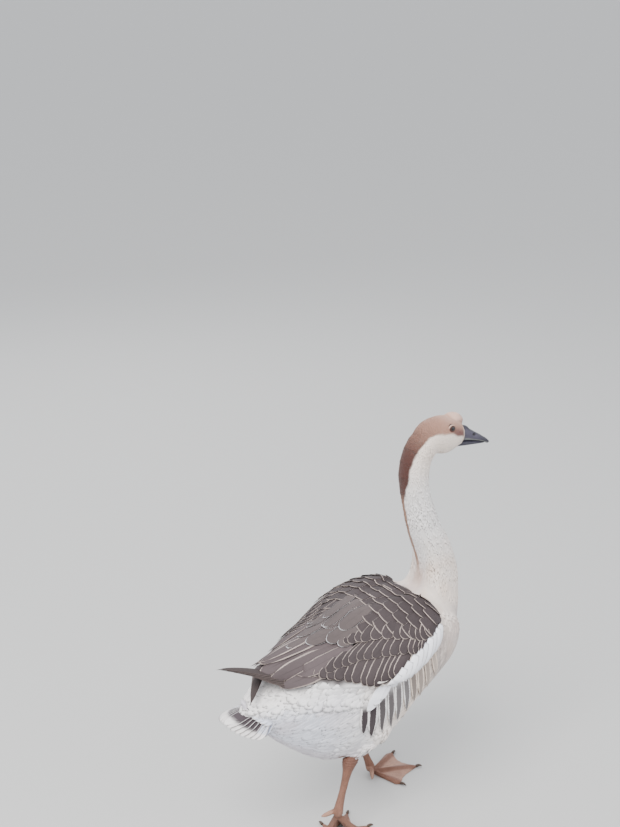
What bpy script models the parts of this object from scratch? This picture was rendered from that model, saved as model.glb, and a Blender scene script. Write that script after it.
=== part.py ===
# Chinese goose, life size, walking, as a still model.
#
# Metres, +Z up, +X forward, +Y to the bird's left, floor at Z = 0.
# The stations below are measured from the hip. Every piece is then moved
# forward by HIP_TO_MIDDLE, so that the origin is the middle of the length.

import math

import bmesh
import bpy
import numpy as np
from mathutils import Vector

# Driving dimensions
HIP_TO_MIDDLE = 0.0175    # from the hip to the middle of the whole length
GAP = 0.0004              # clearance between pieces that touch
EYE_RADIUS = 0.0074       # visible eyeball
WEB_THICKNESS = 0.0020    # skin between the toes
TOE_THICKNESS = 0.0095    # toe at its root
HEEL_LIFT = 0.040         # how high the right foot's joint is raised at toe-off
MIDDLE_TOE = 0.088        # length of the middle toe without its claw
OUTER_TOE = 0.079         # length of the outer toe without its claw
INNER_TOE = 0.066         # length of the inner toe without its claw
CLAW_LENGTH = 0.009       # length of a front claw
KNUCKLE_BEND = 80.0       # steepest that a toe may come down, in degrees
SHARP_ANGLE = 50.0        # edges bent more than this are drawn sharp, in degrees

# Tail fan
TAIL_ROOT = (-0.186, 0.0, 0.272)
TAIL_LENGTH = 0.098       # from the root to the middle tip
TAIL_START = 0.020        # hidden part at the root
TAIL_HALF_ANGLE = 40.0    # half the spread, in degrees
TAIL_FEATHERS = 9         # rounded tips along the edge
TAIL_SIDE_LOSS = 0.16     # how much shorter the side feathers are
TAIL_SCALLOP = 0.07       # depth of the notches between tips
TAIL_SLOPE = 0.22         # fall of the middle feather
TAIL_ROOF = 0.20          # extra fall towards the sides
TAIL_ROOT_THICKNESS = 0.014
TAIL_TIP_THICKNESS = 0.0022

# Wing shells: thickness at the two edges as a share of the middle, and
# how far in from an edge the thickness starts to rise.
EDGE_SHARE = 0.25
EDGE_INSET = 0.12

# Webbed foot, as shares of a toe's length unless said otherwise
TOE_SIDE_ANGLE = 7.0      # degrees from an outside toe's middle to its side
TOE_SIDE_LENGTH = 0.90
TOE_SIDE_RIDGE = 0.35     # height of that side as a share of the ridge
WEB_NOTCH = 0.20          # how far the web's edge lies behind the toe tips
WEB_CELLS = 5             # strips between two toes
TOE_TAPER = 0.42
TOE_TIP = 0.6             # thickness left at the last ring
ANKLE_FADE = 0.25         # length over which the ankle's thickness fades
TOE_START = 0.05          # hidden part under the leg
TOE_FLAT = 0.14           # front part that lies flat on the floor
TOE_BEND = 0.28           # part over which a raised toe straightens out
TOE_SAMPLES = 48

# Hind toe: distance behind the joint, height and radius
HIND_TOE = [
    (0.005, 0.0160, 0.0040),
    (0.012, 0.0120, 0.0042),
    (0.021, 0.0065, 0.0034),
    (0.027, 0.0036, 0.0014),
]
HIND_TOE_LIFT = 0.96      # share of the heel's lift
# Claw: share of its length, height and radius
CLAW = [(0.0, 0.0028, 0.0024), (0.45, 0.0030, 0.0019), (1.0, 0.0016, 0.0012)]
EYE_CENTRE = (0.159, 0.0195, 0.6860)

# Each station is x, z, radius up, radius down and radius sideways.
# Up and down are measured square to the curve through the stations.
TRUNK = [
    (-0.246, 0.266, 0.004, 0.005, 0.008),
    (-0.226, 0.264, 0.020, 0.031, 0.036),
    (-0.180, 0.264, 0.044, 0.090, 0.070),
    (-0.115, 0.272, 0.062, 0.151, 0.101),
    (-0.040, 0.287, 0.082, 0.156, 0.120),
    (0.030, 0.306, 0.093, 0.112, 0.119),
    (0.082, 0.321, 0.087, 0.090, 0.110),
    (0.128, 0.331, 0.067, 0.073, 0.093),
    (0.162, 0.334, 0.036, 0.052, 0.060),
    (0.175, 0.335, 0.005, 0.008, 0.009),
]
NECK_LOWER = [
    (0.058, 0.308, 0.045, 0.060, 0.062),
    (0.096, 0.350, 0.032, 0.098, 0.074),
    (0.124, 0.402, 0.021, 0.077, 0.047),
    (0.128, 0.452, 0.021, 0.054, 0.036),
    (0.116, 0.505, 0.026, 0.036, 0.031),
]
NECK_UPPER = [
    (0.116, 0.505, 0.026, 0.036, 0.031),
    (0.101, 0.560, 0.0245, 0.0285, 0.0275),
    (0.091, 0.610, 0.0225, 0.0325, 0.0275),
    (0.100, 0.648, 0.0215, 0.0340, 0.0270),
    (0.122, 0.670, 0.0240, 0.0340, 0.0255),
    (0.144, 0.674, 0.0200, 0.0260, 0.0200),
]
HEAD = [
    (0.094, 0.668, 0.004, 0.005, 0.005),
    (0.102, 0.669, 0.0165, 0.0180, 0.0165),
    (0.122, 0.673, 0.0275, 0.0310, 0.0255),
    (0.146, 0.675, 0.0305, 0.0390, 0.0275),
    (0.168, 0.673, 0.0285, 0.0395, 0.0255),
    (0.186, 0.668, 0.0195, 0.0310, 0.0205),
    (0.196, 0.663, 0.0140, 0.0215, 0.0155),
    (0.201, 0.661, 0.0040, 0.0060, 0.0050),
]
KNOB = [
    (0.158, 0.691, 0.004, 0.004, 0.004),
    (0.164, 0.692, 0.0120, 0.0100, 0.0100),
    (0.176, 0.691, 0.0145, 0.0125, 0.0125),
    (0.186, 0.688, 0.0120, 0.0120, 0.0105),
    (0.191, 0.686, 0.004, 0.004, 0.004),
]
BILL_UPPER = [
    (0.186, 0.6610, 0.0175, 0.0075, 0.0125),
    (0.200, 0.6580, 0.0190, 0.0070, 0.0130),
    (0.213, 0.6550, 0.0118, 0.0062, 0.0122),
    (0.229, 0.6495, 0.0058, 0.0042, 0.0110),
    (0.242, 0.6440, 0.0036, 0.0028, 0.0101),
    (0.2508, 0.6402, 0.0024, 0.0032, 0.0078),
    (0.2550, 0.6384, 0.0012, 0.0022, 0.0034),
]
BILL_LOWER = [
    (0.184, 0.6505, 0.0050, 0.0070, 0.0102),
    (0.198, 0.6480, 0.0050, 0.0060, 0.0110),
    (0.214, 0.6454, 0.0044, 0.0046, 0.0102),
    (0.230, 0.6430, 0.0036, 0.0034, 0.0090),
    (0.241, 0.6412, 0.0026, 0.0024, 0.0072),
    (0.2465, 0.6402, 0.0010, 0.0012, 0.0030),
]

# Each wing station is x, then y and z of the top edge, of the fullest
# point and of the bottom edge, then the thickness, for the left wing.
WING = [
    (0.098, 0.050, 0.398, 0.096, 0.388, 0.098, 0.362, 0.020),
    (0.070, 0.040, 0.411, 0.126, 0.392, 0.118, 0.350, 0.026),
    (0.030, 0.034, 0.411, 0.146, 0.384, 0.133, 0.332, 0.030),
    (-0.020, 0.028, 0.397, 0.147, 0.366, 0.138, 0.314, 0.030),
    (-0.070, 0.022, 0.370, 0.119, 0.342, 0.124, 0.306, 0.028),
    (-0.115, 0.016, 0.357, 0.088, 0.338, 0.101, 0.308, 0.022),
    (-0.150, 0.010, 0.349, 0.056, 0.334, 0.074, 0.312, 0.014),
]
TERTIALS = [
    (-0.150, 0.010, 0.349, 0.056, 0.334, 0.074, 0.312, 0.012),
    (-0.180, 0.006, 0.344, 0.036, 0.333, 0.051, 0.312, 0.009),
    (-0.205, 0.003, 0.341, 0.023, 0.333, 0.033, 0.312, 0.007),
    (-0.228, 0.003, 0.338, 0.012, 0.333, 0.019, 0.312, 0.005),
]
# Each row is x, y, z, half thickness and half width of a wing tip.
PRIMARIES_RIGHT = [
    (-0.150, -0.042, 0.328, 0.0040, 0.014),
    (-0.200, -0.024, 0.329, 0.0036, 0.011),
    (-0.235, -0.010, 0.335, 0.0032, 0.008),
    (-0.272, 0.004, 0.341, 0.0022, 0.0055),
    (-0.290, 0.010, 0.341, 0.0010, 0.0016),
]
PRIMARIES_LEFT = [
    (-0.150, 0.052, 0.312, 0.0040, 0.015),
    (-0.185, 0.030, 0.310, 0.0036, 0.013),
    (-0.215, 0.004, 0.304, 0.0030, 0.010),
    (-0.238, -0.020, 0.294, 0.0022, 0.006),
    (-0.250, -0.033, 0.287, 0.0010, 0.0016),
]

# Legs: each row is x, y, z, half depth fore and aft, half width.
THIGH_LEFT = [
    (0.010, 0.072, 0.240, 0.020, 0.020),
    (0.026, 0.079, 0.205, 0.050, 0.040),
    (0.040, 0.073, 0.162, 0.040, 0.033),
    (0.044, 0.068, 0.125, 0.027, 0.024),
    (0.042, 0.069, 0.101, 0.0130, 0.0125),
]
TARSUS_LEFT = [
    (0.044, 0.0685, 0.116, 0.0070, 0.0065),
    (0.040, 0.0690, 0.094, 0.0105, 0.0090),
    (0.043, 0.0695, 0.077, 0.0080, 0.0066),
    (0.054, 0.0705, 0.044, 0.0062, 0.0056),
    (0.063, 0.0715, 0.022, 0.0078, 0.0074),
    (0.067, 0.0720, 0.0105, 0.0085, 0.0085),
    (0.069, 0.0720, 0.0040, 0.0032, 0.0040),
]
THIGH_RIGHT = [
    (-0.020, -0.066, 0.246, 0.020, 0.020),
    (-0.028, -0.072, 0.214, 0.042, 0.036),
    (-0.044, -0.069, 0.182, 0.029, 0.027),
    (-0.056, -0.063, 0.158, 0.0170, 0.0165),
    (-0.066, -0.057, 0.143, 0.0125, 0.0120),
]
TARSUS_RIGHT = [
    (-0.060, -0.056, 0.158, 0.0070, 0.0065),
    (-0.068, -0.056, 0.139, 0.0105, 0.0090),
    (-0.074, -0.057, 0.121, 0.0080, 0.0066),
    (-0.086, -0.060, 0.086, 0.0062, 0.0056),
    (-0.095, -0.063, 0.062, 0.0076, 0.0074),
    (-0.098, -0.064, 0.050, 0.0085, 0.0085),
    (-0.100, -0.0645, 0.0425, 0.0040, 0.0040),
]
LEFT_FOOT_JOINT = (0.068, 0.072)
RIGHT_FOOT_JOINT = (-0.100, -0.0645)
LEFT_FOOT_TURN = -20.0    # toed in, in degrees from straight ahead
RIGHT_FOOT_TURN = 42.0
OUTER_SPREAD = 44.0       # from the middle toe to the outer toe
INNER_SPREAD = 48.0       # from the middle toe to the inner toe
HALLUX_TURN = 80.0        # how far the hind toe turns inward from straight back

# Colours of the plain solids
WHITE = (0.80, 0.78, 0.74)
CREAM = (0.70, 0.62, 0.54)
BROWN = (0.28, 0.18, 0.14)
GREY_BROWN = (0.19, 0.16, 0.15)
DARK = (0.07, 0.06, 0.06)
BUFF = (0.62, 0.50, 0.42)
SLATE = (0.12, 0.13, 0.18)
ORANGE = (0.50, 0.20, 0.09)
EYE_BROWN = (0.05, 0.02, 0.01)
HORN = (0.10, 0.07, 0.05)


def clear_scene():
    for item in list(bpy.data.objects):
        bpy.data.objects.remove(item, do_unlink=True)


def finish(name, verts, faces, colour, roughness=0.7):
    """Turn points and faces into a closed, smooth shaded object."""
    mesh = bpy.data.meshes.new(name)
    bm = bmesh.new()
    corners = [bm.verts.new((v[0] + HIP_TO_MIDDLE, v[1], v[2])) for v in verts]
    for face in faces:
        bm.faces.new([corners[i] for i in face])
    bmesh.ops.triangulate(bm, faces=bm.faces)
    bmesh.ops.recalc_face_normals(bm, faces=bm.faces)
    bm.to_mesh(mesh)
    bm.free()
    mesh.shade_smooth()
    mesh.set_sharp_from_angle(angle=math.radians(SHARP_ANGLE))
    piece = bpy.data.objects.new(name, mesh)
    bpy.context.scene.collection.objects.link(piece)
    material = bpy.data.materials.new(name)
    material.use_nodes = True
    shader = material.node_tree.nodes["Principled BSDF"]
    shader.inputs["Base Color"].default_value = (*colour, 1.0)
    shader.inputs["Roughness"].default_value = roughness
    shader.inputs["Metallic"].default_value = 0.0
    mesh.materials.append(material)
    return piece


def smooth_rows(rows, steps):
    """Pass a smooth curve through the rows, with so many steps a span."""
    rows = np.array(rows, float)
    ends = np.vstack([2 * rows[0] - rows[1], rows, 2 * rows[-1] - rows[-2]])
    out = []
    for i in range(1, len(ends) - 2):
        a, b, c, d = ends[i - 1:i + 3]
        for k in range(steps):
            t = k / steps
            out.append(0.5 * (2 * b + (c - a) * t + (2 * a - 5 * b + 4 * c - d) * t ** 2
                              + (3 * b - a - 3 * c + d) * t ** 3))
    out.append(ends[-2])
    return np.array(out)


def ring_faces(rings, around):
    """Quads between rings of points, closed by a point at either end."""
    faces = []
    for i in range(rings - 1):
        for j in range(around):
            k = (j + 1) % around
            faces.append((i * around + j, i * around + k, (i + 1) * around + k, (i + 1) * around + j))
    first, last = rings * around, rings * around + 1
    for j in range(around):
        k = (j + 1) % around
        faces.append((first, k, j))
        faces.append((last, (rings - 1) * around + j, (rings - 1) * around + k))
    return faces


def loft(name, rows, colour, steps=3, around=20, roughness=0.7):
    """A body through rows of x, y, z, up, down and side radii."""
    rows = smooth_rows(rows, steps)
    centre = rows[:, :3]
    along = np.gradient(centre, axis=0)
    along /= np.linalg.norm(along, axis=1)[:, None]
    side = np.array([0.0, 1.0, 0.0]) - along * along[:, 1:2]
    side /= np.linalg.norm(side, axis=1)[:, None]
    up = np.cross(along, side)
    angles = np.arange(around) * 2 * math.pi / around
    verts = []
    for c, u, s, row in zip(centre, up, side, rows):
        for angle in angles:
            lift = row[3] if math.cos(angle) > 0 else row[4]
            verts.append(c + u * lift * math.cos(angle) + s * row[5] * math.sin(angle))
    verts += [centre[0], centre[-1]]
    return finish(name, verts, ring_faces(len(rows), around), colour, roughness)


def profile(stations):
    """Stations in the bird's middle plane as loft rows."""
    return [(x, 0.0, z, up, down, side) for x, z, up, down, side in stations]


def limb(rows):
    """Leg or wing tip rows as loft rows."""
    return [(x, y, z, deep, deep, wide) for x, y, z, deep, wide in rows]


def cutter(piece, gap=GAP):
    """A hidden copy of a piece, grown by the clearance."""
    name = "cut_" + piece.name
    if name in bpy.data.objects:
        return bpy.data.objects[name]
    mesh = piece.data.copy()
    bm = bmesh.new()
    bm.from_mesh(mesh)
    bm.normal_update()
    moves = [v.normal * gap * min(2.0, v.calc_shell_factor()) for v in bm.verts]
    for v, move in zip(bm.verts, moves):
        v.co += move
    bm.to_mesh(mesh)
    bm.free()
    tool = bpy.data.objects.new(name, mesh)
    bpy.context.scene.collection.objects.link(tool)
    tool.hide_render = True
    tool.display_type = 'WIRE'
    return tool


def trim(piece, *others):
    """Cut a piece back from its neighbours, with a clearance."""
    for other in others:
        cut = piece.modifiers.new("clear of " + other.name, 'BOOLEAN')
        cut.operation = 'DIFFERENCE'
        cut.solver = 'EXACT'
        cut.object = cutter(other)


def wing_shell(name, rows, side, colour, steps, across=8):
    """A curved shell from the top edge to the bottom edge of a wing."""
    rows = smooth_rows(rows, steps)
    verts = []
    for x, yt, zt, yf, zf, yb, zb, thick in rows:
        top, full, bottom = np.array([yt, zt]), np.array([yf, zf]), np.array([yb, zb])
        outer, inner = [], []
        for k in range(across + 1):
            t = k / across
            point = (1 - t) ** 2 * top + 2 * t * (1 - t) * full + t * t * bottom
            slope = 2 * (1 - t) * (full - top) + 2 * t * (bottom - full)
            slope /= np.linalg.norm(slope)
            inward = np.array([slope[1], -slope[0]])
            swell = math.sin(math.pi * (EDGE_INSET + (1 - 2 * EDGE_INSET) * t))
            depth = thick * (EDGE_SHARE + (1 - EDGE_SHARE) * swell)
            outer.append(point)
            inner.append(point + inward * depth)
        for y, z in outer + inner[::-1]:
            verts.append((x, side * y, z))
    around = 2 * (across + 1)
    for ring in (0, len(rows) - 1):
        verts.append(np.mean(verts[ring * around:(ring + 1) * around], axis=0))
    return finish(name, verts, ring_faces(len(rows), around), colour)


def tail_fan():
    """A roof-shaped fan with one rounded tip for each feather."""
    across, along = TAIL_FEATHERS * 3, 4
    root_x, _, root_z = TAIL_ROOT
    verts = []
    for under in (0, 1):
        for i in range(across + 1):
            turn = 2 * i / across - 1
            angle = math.radians(TAIL_HALF_ANGLE) * turn
            scallop = abs(math.sin(math.pi * TAIL_FEATHERS * i / across))
            reach = TAIL_LENGTH * (1 - TAIL_SIDE_LOSS * turn ** 2) * (1 - TAIL_SCALLOP * (1 - scallop))
            droop = TAIL_SLOPE + TAIL_ROOF * abs(math.sin(angle)) ** 1.5
            for k in range(along + 1):
                t = k / along
                out = TAIL_START + (reach - TAIL_START) * t
                thick = TAIL_ROOT_THICKNESS * (1 - t) + TAIL_TIP_THICKNESS
                verts.append((root_x - out * math.cos(angle), out * math.sin(angle),
                              root_z - out * droop - under * thick))
    step = along + 1
    layer = (across + 1) * step
    faces = []
    for i in range(across):
        for k in range(along):
            a, b = i * step + k, (i + 1) * step + k
            faces.append((a, b, b + 1, a + 1))
            faces.append((layer + a, layer + a + 1, layer + b + 1, layer + b))
        inner, outer = i * step, i * step + along
        faces.append((inner, layer + inner, layer + inner + step, inner + step))
        faces.append((outer, outer + step, layer + outer + step, layer + outer))
    for k in range(along):
        for i, flip in ((0, 1), (across, -1)):
            a = i * step + k
            faces.append((a, a + 1, layer + a + 1, layer + a)[::flip])
    return finish("tail_fan", verts, faces, GREY_BROWN)


def toe_drop(length, lift):
    """Run and height along a toe that comes down from a raised joint."""
    piece = length / TOE_SAMPLES

    def walk(steep):
        run, height, track = 0.0, lift, [(0.0, lift, steep)]
        for i in range(TOE_SAMPLES):
            left = 1 - (i + 0.5) / TOE_SAMPLES
            fade = min(1.0, max(0.0, (left - TOE_FLAT) / TOE_BEND))
            run += math.cos(steep * fade) * piece
            height -= math.sin(steep * fade) * piece
            track.append((run, height, steep * fade))
        return track

    low, high = 0.0, math.radians(KNUCKLE_BEND)
    for _ in range(40):
        middle = (low + high) / 2
        if walk(middle)[-1][1] > 0.0:
            low = middle
        else:
            high = middle
    return walk(low)


def foot(name, joint, turn, outer_side, lift):
    """Three toes and the web between them, flat below, in one solid."""
    toes = [(outer_side * OUTER_SPREAD, OUTER_TOE), (0.0, MIDDLE_TOE),
            (-outer_side * INNER_SPREAD, INNER_TOE)]
    cells = []
    for (a0, l0), (a1, l1) in zip(toes, toes[1:]):
        for k in range(WEB_CELLS):
            t = k / WEB_CELLS
            web = 1 - WEB_NOTCH * math.sin(math.pi * t) ** 0.8
            cells.append((a0 + (a1 - a0) * t, (l0 + (l1 - l0) * t) * web, abs(math.cos(math.pi * t)) ** 6))
    cells.append((*toes[2], 1.0))
    side = outer_side * TOE_SIDE_ANGLE
    (first, first_length), (last, last_length) = toes[0], toes[2]
    cells.insert(0, (first + side, first_length * TOE_SIDE_LENGTH, TOE_SIDE_RIDGE))
    cells.append((last - side, last_length * TOE_SIDE_LENGTH, TOE_SIDE_RIDGE))
    along = 8
    verts = []
    for under in (0, 1):
        for spread, length, ridge in cells:
            track = np.array(toe_drop(length, lift))
            angle = math.radians(turn + spread)
            for k in range(along + 1):
                t = TOE_START + (1 - TOE_START) * k / along
                place = t * (len(track) - 1)
                i = min(int(place), len(track) - 2)
                run, height, slope = track[i] + (track[i + 1] - track[i]) * (place - i)
                height = max(0.0, height)
                toe = TOE_THICKNESS * (1 - TOE_TAPER * t)
                near_joint = max(0.0, 1 - t / ANKLE_FADE)
                thick = WEB_THICKNESS + (toe - WEB_THICKNESS) * max(ridge, near_joint)
                if k == along:
                    thick *= TOE_TIP
                rise = 0.0 if under else thick
                run += rise * math.sin(slope)
                verts.append((joint[0] + run * math.cos(angle), joint[1] + run * math.sin(angle),
                              height + rise * math.cos(slope)))
    step = along + 1
    layer = len(cells) * step
    faces = []
    for i in range(len(cells) - 1):
        for k in range(along):
            a, b = i * step + k, (i + 1) * step + k
            faces.append((a, b, b + 1, a + 1))
            faces.append((layer + a, layer + a + 1, layer + b + 1, layer + b))
        inner, outer = i * step, i * step + along
        faces.append((inner, layer + inner, layer + inner + step, inner + step))
        faces.append((outer, outer + step, layer + outer + step, layer + outer))
    edge = (len(cells) - 1) * step
    for k in range(along):
        faces.append((k, k + 1, layer + k + 1, layer + k))
        a = edge + k
        faces.append((a, layer + a, layer + a + 1, a + 1))
    return finish(name, verts, faces, ORANGE, 0.55), toes


def claws(side_name, joint, turn, toes, lift):
    """A small curved claw at the tip of each front toe."""
    for label, (spread, length) in zip(("outer", "middle", "inner"), toes):
        track = toe_drop(length, lift)
        angle = math.radians(turn + spread)
        ahead = Vector((math.cos(angle), math.sin(angle), 0))
        start = Vector((*joint, 0)) + ahead * (track[-1][0] + GAP)
        rows = []
        for t, height, size in CLAW:
            p = start + ahead * CLAW_LENGTH * t
            rows.append((p.x, p.y, height, size, size, size))
        loft(f"claw_{side_name}_{label}", rows, HORN, steps=1, around=8, roughness=0.4)


def hallux(side_name, joint, turn, lift, inward):
    """The small raised hind toe, with its claw joined to it."""
    angle = math.radians(turn + 180 + inward)
    rows = []
    for t, z, size in HIND_TOE:
        x, y = joint[0] + t * math.cos(angle), joint[1] + t * math.sin(angle)
        rows.append((x, y, z + lift * HIND_TOE_LIFT, size, size, size))
    return loft(f"hallux_{side_name}", rows, ORANGE, steps=1, around=8, roughness=0.55)


def eye(side_name, side):
    """A small ball sunk in the side of the head."""
    bm = bmesh.new()
    bmesh.ops.create_uvsphere(bm, u_segments=10, v_segments=7, radius=EYE_RADIUS)
    x, y, z = EYE_CENTRE
    place = Vector((x, side * y, z))
    verts = [v.co + place for v in bm.verts]
    faces = [[v.index for v in f.verts] for f in bm.faces]
    bm.free()
    return finish(f"eye_{side_name}", verts, faces, EYE_BROWN, 0.08)


def build():
    clear_scene()
    trunk = loft("trunk", profile(TRUNK), WHITE, steps=3, around=24)
    neck_lower = loft("neck_lower", profile(NECK_LOWER), CREAM, steps=3, around=18)
    neck_upper = loft("neck_upper", profile(NECK_UPPER), WHITE, steps=2, around=18)
    head = loft("head", profile(HEAD), BROWN, steps=2, around=18)
    knob = loft("forehead_knob", profile(KNOB), BUFF, steps=2, around=14, roughness=0.5)
    bill_upper = loft("bill_upper", profile(BILL_UPPER), SLATE, steps=2, around=14, roughness=0.4)
    bill_lower = loft("bill_lower", profile(BILL_LOWER), SLATE, steps=2, around=10, roughness=0.4)
    eyes = [eye("left", 1), eye("right", -1)]
    trim(head, bill_upper, bill_lower, *eyes)
    trim(knob, head, bill_upper)
    trim(bill_lower, bill_upper)
    trim(neck_upper, head, neck_lower)
    trim(neck_lower, trunk)
    tail = tail_fan()
    trim(tail, trunk)
    for name, side, tips in (("left", 1, PRIMARIES_LEFT), ("right", -1, PRIMARIES_RIGHT)):
        wing = wing_shell(f"wing_{name}", WING, side, GREY_BROWN, steps=2)
        rear = [(r[0] - GAP,) + r[1:] for r in TERTIALS]
        tertials = wing_shell(f"wing_{name}_tertials", rear, side, GREY_BROWN, steps=2)
        primaries = loft(f"wing_{name}_primaries", limb(tips), DARK, steps=2, around=10)
        trim(wing, trunk, neck_lower, primaries)
        trim(primaries, trunk)
        trim(tertials, trunk, primaries)
    legs = (
        ("left", THIGH_LEFT, TARSUS_LEFT, LEFT_FOOT_JOINT, LEFT_FOOT_TURN, 1, 0.0),
        ("right", THIGH_RIGHT, TARSUS_RIGHT, RIGHT_FOOT_JOINT, RIGHT_FOOT_TURN, -1, HEEL_LIFT),
    )
    for name, thigh_rows, tarsus_rows, joint, turn, side, lift in legs:
        tarsus = loft(f"tarsus_{name}", limb(tarsus_rows), ORANGE, steps=2, around=10, roughness=0.55)
        thigh = loft(f"thigh_{name}", limb(thigh_rows), WHITE, steps=2, around=16)
        sole, toes = foot(f"foot_{name}", joint, turn, side, lift)
        back_toe = hallux(name, joint, turn, lift, side * HALLUX_TURN)
        claws(name, joint, turn, toes, lift)
        trim(tarsus, trunk)
        trim(thigh, trunk, tarsus)
        trim(sole, tarsus)
        trim(back_toe, tarsus)


build()
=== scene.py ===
# %% [markdown]
# A Chinese goose, life size, walking away and looking ahead
#
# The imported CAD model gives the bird's true sizes: trunk, neck, head, bill, wings, legs.
# This lesson dresses it. A soft skin takes the place of the flesh, and every
# feather is a thin closed blade of mesh that lies on it, as on a museum model.

# %% Load the frame
import math

import bmesh
import bpy
import numpy as np
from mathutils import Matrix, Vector
from mathutils.bvhtree import BVHTree


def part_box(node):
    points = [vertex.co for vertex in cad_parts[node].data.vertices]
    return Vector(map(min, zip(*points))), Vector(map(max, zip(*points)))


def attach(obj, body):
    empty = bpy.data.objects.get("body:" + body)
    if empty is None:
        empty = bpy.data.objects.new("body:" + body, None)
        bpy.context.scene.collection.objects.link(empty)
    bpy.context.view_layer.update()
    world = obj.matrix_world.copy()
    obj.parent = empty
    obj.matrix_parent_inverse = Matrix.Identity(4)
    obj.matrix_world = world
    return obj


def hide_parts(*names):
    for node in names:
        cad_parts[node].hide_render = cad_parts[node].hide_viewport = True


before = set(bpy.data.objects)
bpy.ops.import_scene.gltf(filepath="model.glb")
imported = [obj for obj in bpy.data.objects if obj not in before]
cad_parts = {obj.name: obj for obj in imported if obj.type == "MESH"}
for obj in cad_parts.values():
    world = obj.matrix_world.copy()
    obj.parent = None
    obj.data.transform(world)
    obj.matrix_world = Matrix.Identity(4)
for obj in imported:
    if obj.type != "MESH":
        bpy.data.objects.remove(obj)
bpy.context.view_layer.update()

print("CAD nodes:", len(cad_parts))

# %% [markdown]
# The camera
#
# The photograph looks down a little on the bird's right side, from behind. A long
# lens at that place gives the same outline. The script makes a camera object,
# gives it the three directions of the view, and makes it the scene's camera.

# %% Camera
CAMERA_PLACE = (-1.3272, -1.8957, 1.5197)
CAMERA_RIGHT = (0.838671, -0.544639, 0.0)
CAMERA_UP = (0.174238, 0.268303, 0.947446)
CAMERA_BACK = (-0.516016, -0.794595, 0.319915)
LENS = 65.3                       # millimetres, on a frame 36 millimetres high

lens = bpy.data.cameras.new("camera")
lens.sensor_fit = 'VERTICAL'
lens.sensor_height = 36.0
lens.lens = LENS
camera = bpy.data.objects.new("camera", lens)
bpy.context.scene.collection.objects.link(camera)
for column, direction in enumerate((CAMERA_RIGHT, CAMERA_UP, CAMERA_BACK, CAMERA_PLACE)):
    for row in range(3):
        camera.matrix_world[row][column] = direction[row]
bpy.context.scene.camera = camera


# %% [markdown]
# Colours and small helpers
#
# Blender works in linear light. Feather and skin colours are easier to name
# on the usual scale of 0 to 255, so one helper turns the second into the first.

# %% Helpers for colour and mesh
def paint(red, green, blue):
    """A colour on the 0 to 255 scale as linear light."""
    c = np.array([red, green, blue], float) / 255
    return np.where(c <= 0.04045, c / 12.92, ((c + 0.055) / 1.055) ** 2.4)


def ease(low, high, value):
    """0 below low, 1 above high, and a soft step between."""
    t = np.clip((np.asarray(value, float) - low) / (high - low), 0, 1)
    return t * t * (3 - 2 * t)


def blend_colours(first, second, share):
    """A mix of two colours, or arrays of colours, by a share from 0 to 1."""
    share = np.asarray(share, float)[..., None]
    return np.asarray(first) * (1 - share) + np.asarray(second) * share


def new_piece(name, verts, faces, material=None):
    """A smooth shaded mesh object at the origin."""
    mesh = bpy.data.meshes.new(name)
    mesh.from_pydata([tuple(v) for v in verts], [], faces)
    mesh.validate()
    mesh.shade_smooth()
    piece = bpy.data.objects.new(name, mesh)
    bpy.context.scene.collection.objects.link(piece)
    if material:
        mesh.materials.append(material)
    return piece


def corners_of(mesh):
    """All vertices of a mesh as an array."""
    co = np.zeros(len(mesh.vertices) * 3)
    mesh.vertices.foreach_get("co", co)
    return co.reshape(-1, 3)


def store_colour(mesh, name, values):
    """Keep one colour for each vertex under a name that materials can read."""
    layer = mesh.attributes.new(name, 'FLOAT_COLOR', 'POINT')
    flat = np.ones((len(values), 4), np.float32)
    flat[:, :3] = values
    layer.data.foreach_set("color", flat.ravel())


def store_numbers(mesh, name, values):
    """Keep one number, or one vector, for each vertex."""
    values = np.asarray(values, np.float32)
    if values.ndim == 1:
        mesh.attributes.new(name, 'FLOAT', 'POINT').data.foreach_set("value", values)
    else:
        layer = mesh.attributes.new(name, 'FLOAT_VECTOR', 'POINT')
        layer.data.foreach_set("vector", values.ravel())


def place(piece, slot_name, *nodes):
    """Ride on the bird's one body and stand for CAD nodes, which are hidden. The slot name is not used."""
    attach(piece, "root")
    if nodes:
        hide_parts(*nodes)
    triangles = sum(len(p.vertices) - 2 for p in piece.data.polygons)
    print(f"{piece.name}: {triangles} triangles")
    return piece


# %% [markdown]
# The studio
#
# The floor is a plain pale sheet, which isn't part of the bird. The photograph
# was taken under a soft sky, so one broad lamp stands high on the camera's left,
# a weaker one fills the right, and the world glows.

# %% Floor, lamps and world
FLOOR_SIZE = 120.0
BIRD_MIDDLE = Vector((0, 0, 0.35))


def new_material(name):
    """A material with nodes, and its Principled shader."""
    material = bpy.data.materials.new(name)
    material.use_nodes = True
    return material, material.node_tree.nodes["Principled BSDF"]


def soft_lamp(name, spot, size, power, colour):
    """A square soft box that points at the bird's middle."""
    lamp = bpy.data.lights.new(name, 'AREA')
    lamp.size, lamp.energy, lamp.color = size, power, colour
    holder = bpy.data.objects.new(name, lamp)
    holder.location = spot
    holder.rotation_euler = (BIRD_MIDDLE - Vector(spot)).to_track_quat('-Z', 'Y').to_euler()
    bpy.context.scene.collection.objects.link(holder)


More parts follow.
